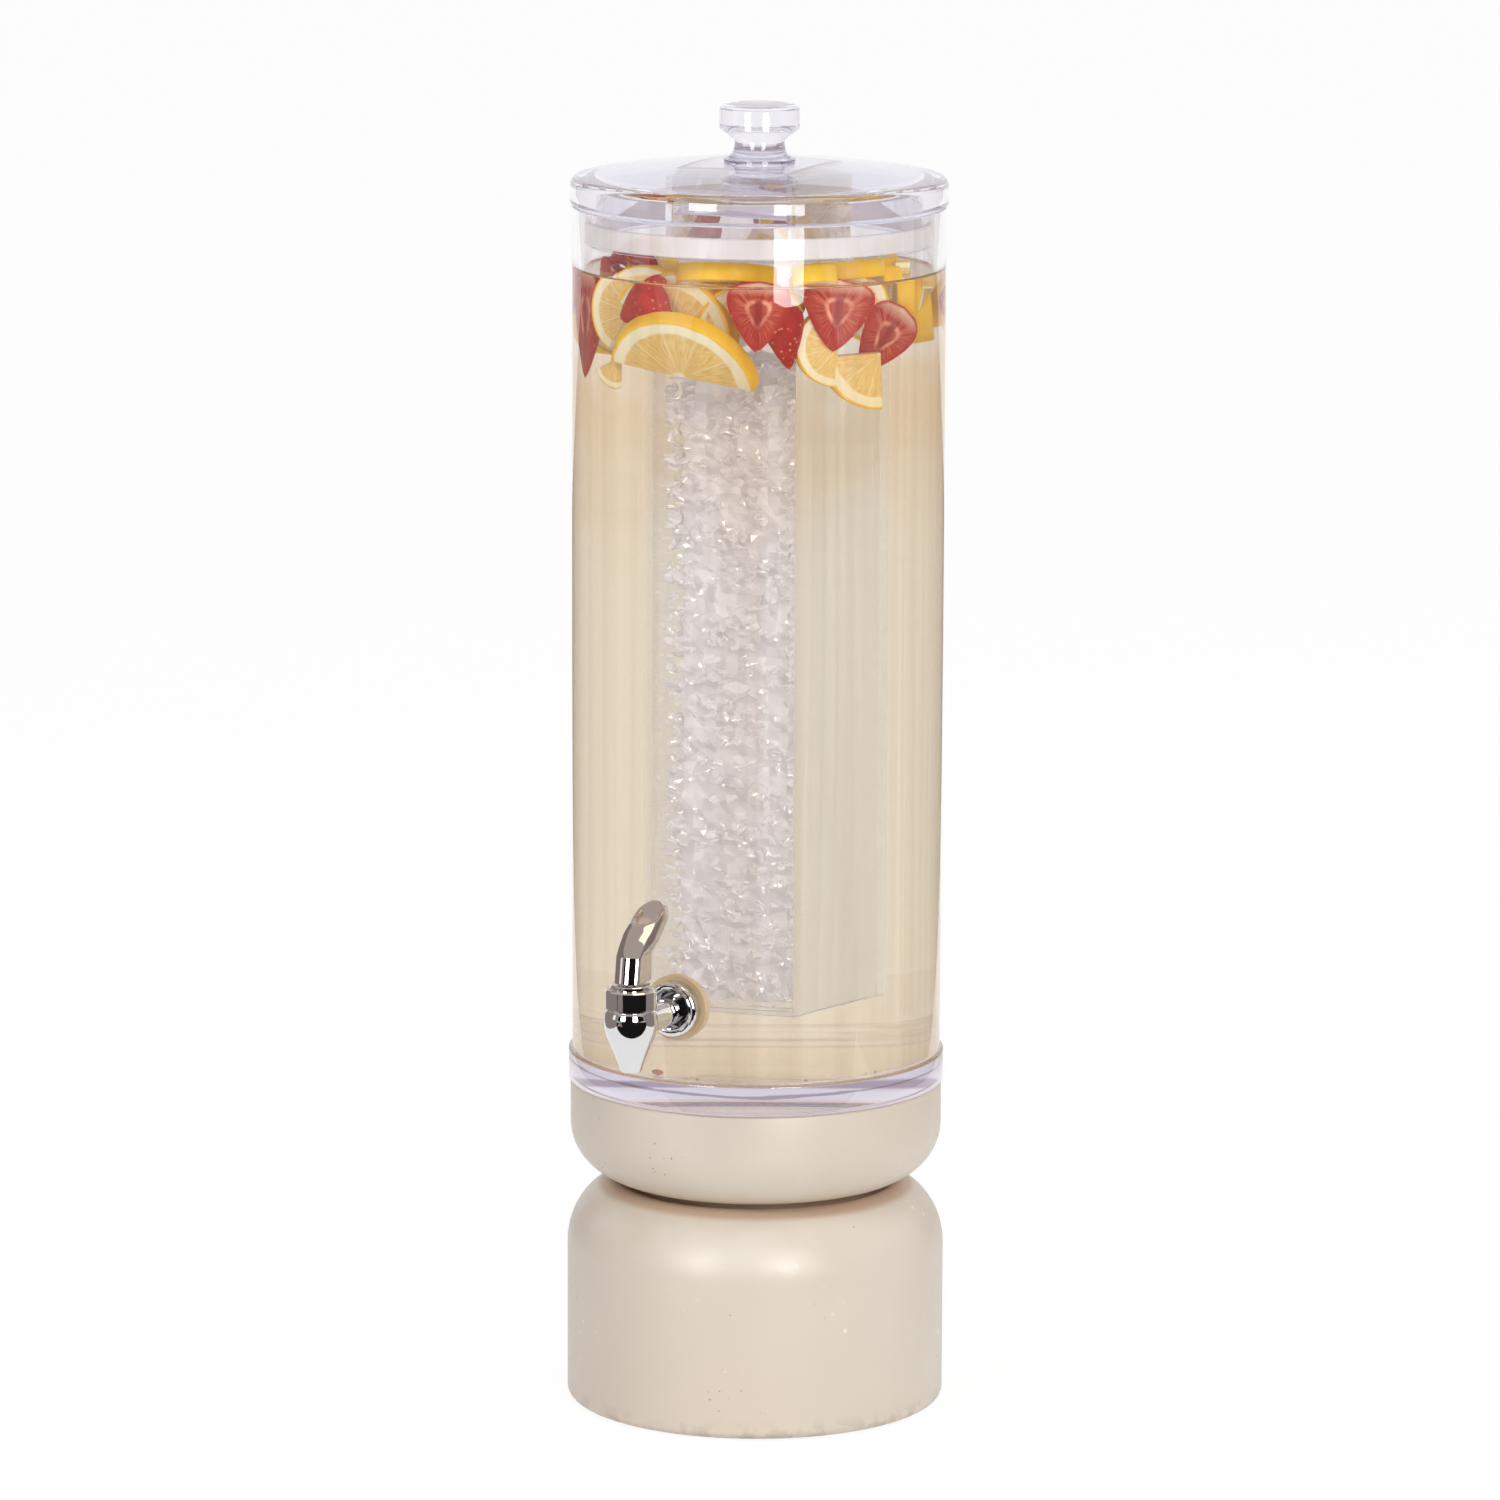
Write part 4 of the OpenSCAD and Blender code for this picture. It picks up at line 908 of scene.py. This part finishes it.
# Ice tube: a square acrylic tube pushed up over the socket, with a plate cemented in its lower end.
# Its outside under the drink's surface is acrylic against drink, which bends light far less than against air.
ICE_OUTER, ICE_INNER, WET_IOR = 76.2, 69.8, 1.118
chamber = square_tube("ice_wall", ICE_OUTER, ICE_INNER, low=228.3, high=679.67, edge=0.6)
bpy.ops.object.mode_set(mode="EDIT")
bpy.ops.mesh.select_all(action="SELECT")
bpy.ops.mesh.bisect(plane_co=(0, 0, DRINK_TOP / 1000), plane_no=(0, 0, 1))
bpy.ops.object.mode_set(mode="OBJECT")
wet_acrylic = clear("wet_acrylic", (0.87, 0.915, 0.99), WET_IOR)
for finish in (acrylic, wet_acrylic, sawn):
    chamber.data.materials.append(finish)
for face in chamber.data.polygons:
    x, y, z = face.center
    outside = max(abs(x), abs(y)) > (ICE_OUTER + ICE_INNER) / 4000
    face.material_index = int(outside and z < DRINK_TOP / 1000)
    if abs(face.normal.z) > 0.5:
        face.material_index = 2
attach(chamber, "ice_chamber")
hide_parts("ice_tube")
dress("ice_tube_floor", acrylic)

# Crushed ice: small broken pieces that fill the ice tube to below the drink's surface.
# A column of rough lumps fills the middle, and loose shards lie between it and the walls.
LUMPS, LUMP, LUMP_LOW, LUMP_STEP = 7, 0.0505, 0.261, 0.0495
SHARDS, SHARD_R, SPREAD, SIDE = 2600, 0.0045, 30, 29.5
# Painted light: the ice glows faintly, and faces of the highest tone glow brightly as painted glints.
frost = paint("ice", {"Roughness": 0.15, "IOR": 1.31, "Emission Strength": 0.12})
tone = add(frost, "Attribute", {}, attribute_name="tone").outputs["Fac"]
grained(frost, 90, 500, 0.25)
pale = blend(frost, tone, (0.72, 0.70, 0.745), (0.93, 0.915, 0.945))
painted_glint = between(frost, tone, 0.965, 0.97)
feed(frost, "Base Color", blend(frost, painted_glint, pale, (0.99, 0.99, 1.0)))
feed(frost, "Emission Color", blend(frost, painted_glint, pale, (6.0, 6.0, 6.0)))
random.seed(7)
bpy.ops.object.select_all(action="DESELECT")
heap = []
for k in range(LUMPS):
    bpy.ops.mesh.primitive_cube_add(size=LUMP)
    lump = bpy.context.active_object
    bpy.ops.object.mode_set(mode="EDIT")
    bpy.ops.mesh.select_all(action="SELECT")
    bpy.ops.transform.translate(value=(0, 0, LUMP_LOW + LUMP_STEP * k))
    bpy.ops.mesh.subdivide(number_cuts=9)
    bpy.ops.transform.vertex_random(offset=0.0022, seed=5 + k)
    bpy.ops.object.mode_set(mode="OBJECT")
    heap.append(lump)
bpy.ops.mesh.primitive_ico_sphere_add(subdivisions=1, radius=SHARD_R)
shard = bpy.context.active_object
bpy.ops.object.mode_set(mode="EDIT")
bpy.ops.mesh.select_all(action="SELECT")
bpy.ops.transform.vertex_random(offset=0.0018, seed=3)
bpy.ops.object.mode_set(mode="OBJECT")
for _ in range(SHARDS):
    piece = shard.copy()
    piece.data = shard.data.copy()
    bpy.context.collection.objects.link(piece)
    x, y = random.uniform(-SPREAD, SPREAD), random.uniform(-SPREAD, SPREAD)
    x, y = random.choice([(x, -SIDE), (x, SIDE), (SIDE, y), (-SIDE, y)])
    turn = random.uniform(0, 6.28)
    spin = Matrix.Rotation(turn, 4, Vector([random.random() - 0.5 for _ in range(3)]))
    size = [random.uniform(0.3, 0.9), random.uniform(0.3, 0.9), random.uniform(0.1, 0.45)]
    place = Matrix.Translation((x / 1000, y / 1000, random.uniform(237, 590) / 1000))
    piece.data.transform(place @ spin @ Matrix.Diagonal((*size, 1)))
    heap.append(piece)
bpy.data.objects.remove(shard)
bpy.ops.object.select_all(action="DESELECT")
# The lumps' tones stay under the painted glints' threshold.
for k, piece in enumerate(heap):
    shade = piece.data.attributes.new("tone", "FLOAT", "FACE")
    for spot in shade.data:
        spot.value = random.random() * (0.9 if k < LUMPS else 1)
    piece.select_set(True)
bpy.context.view_layer.objects.active = heap[0]
bpy.ops.object.join()
ice = bpy.context.active_object
ice.name = ice.data.name = "crushed_ice"
ice.data.materials.append(frost)
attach(ice, "ice_chamber")
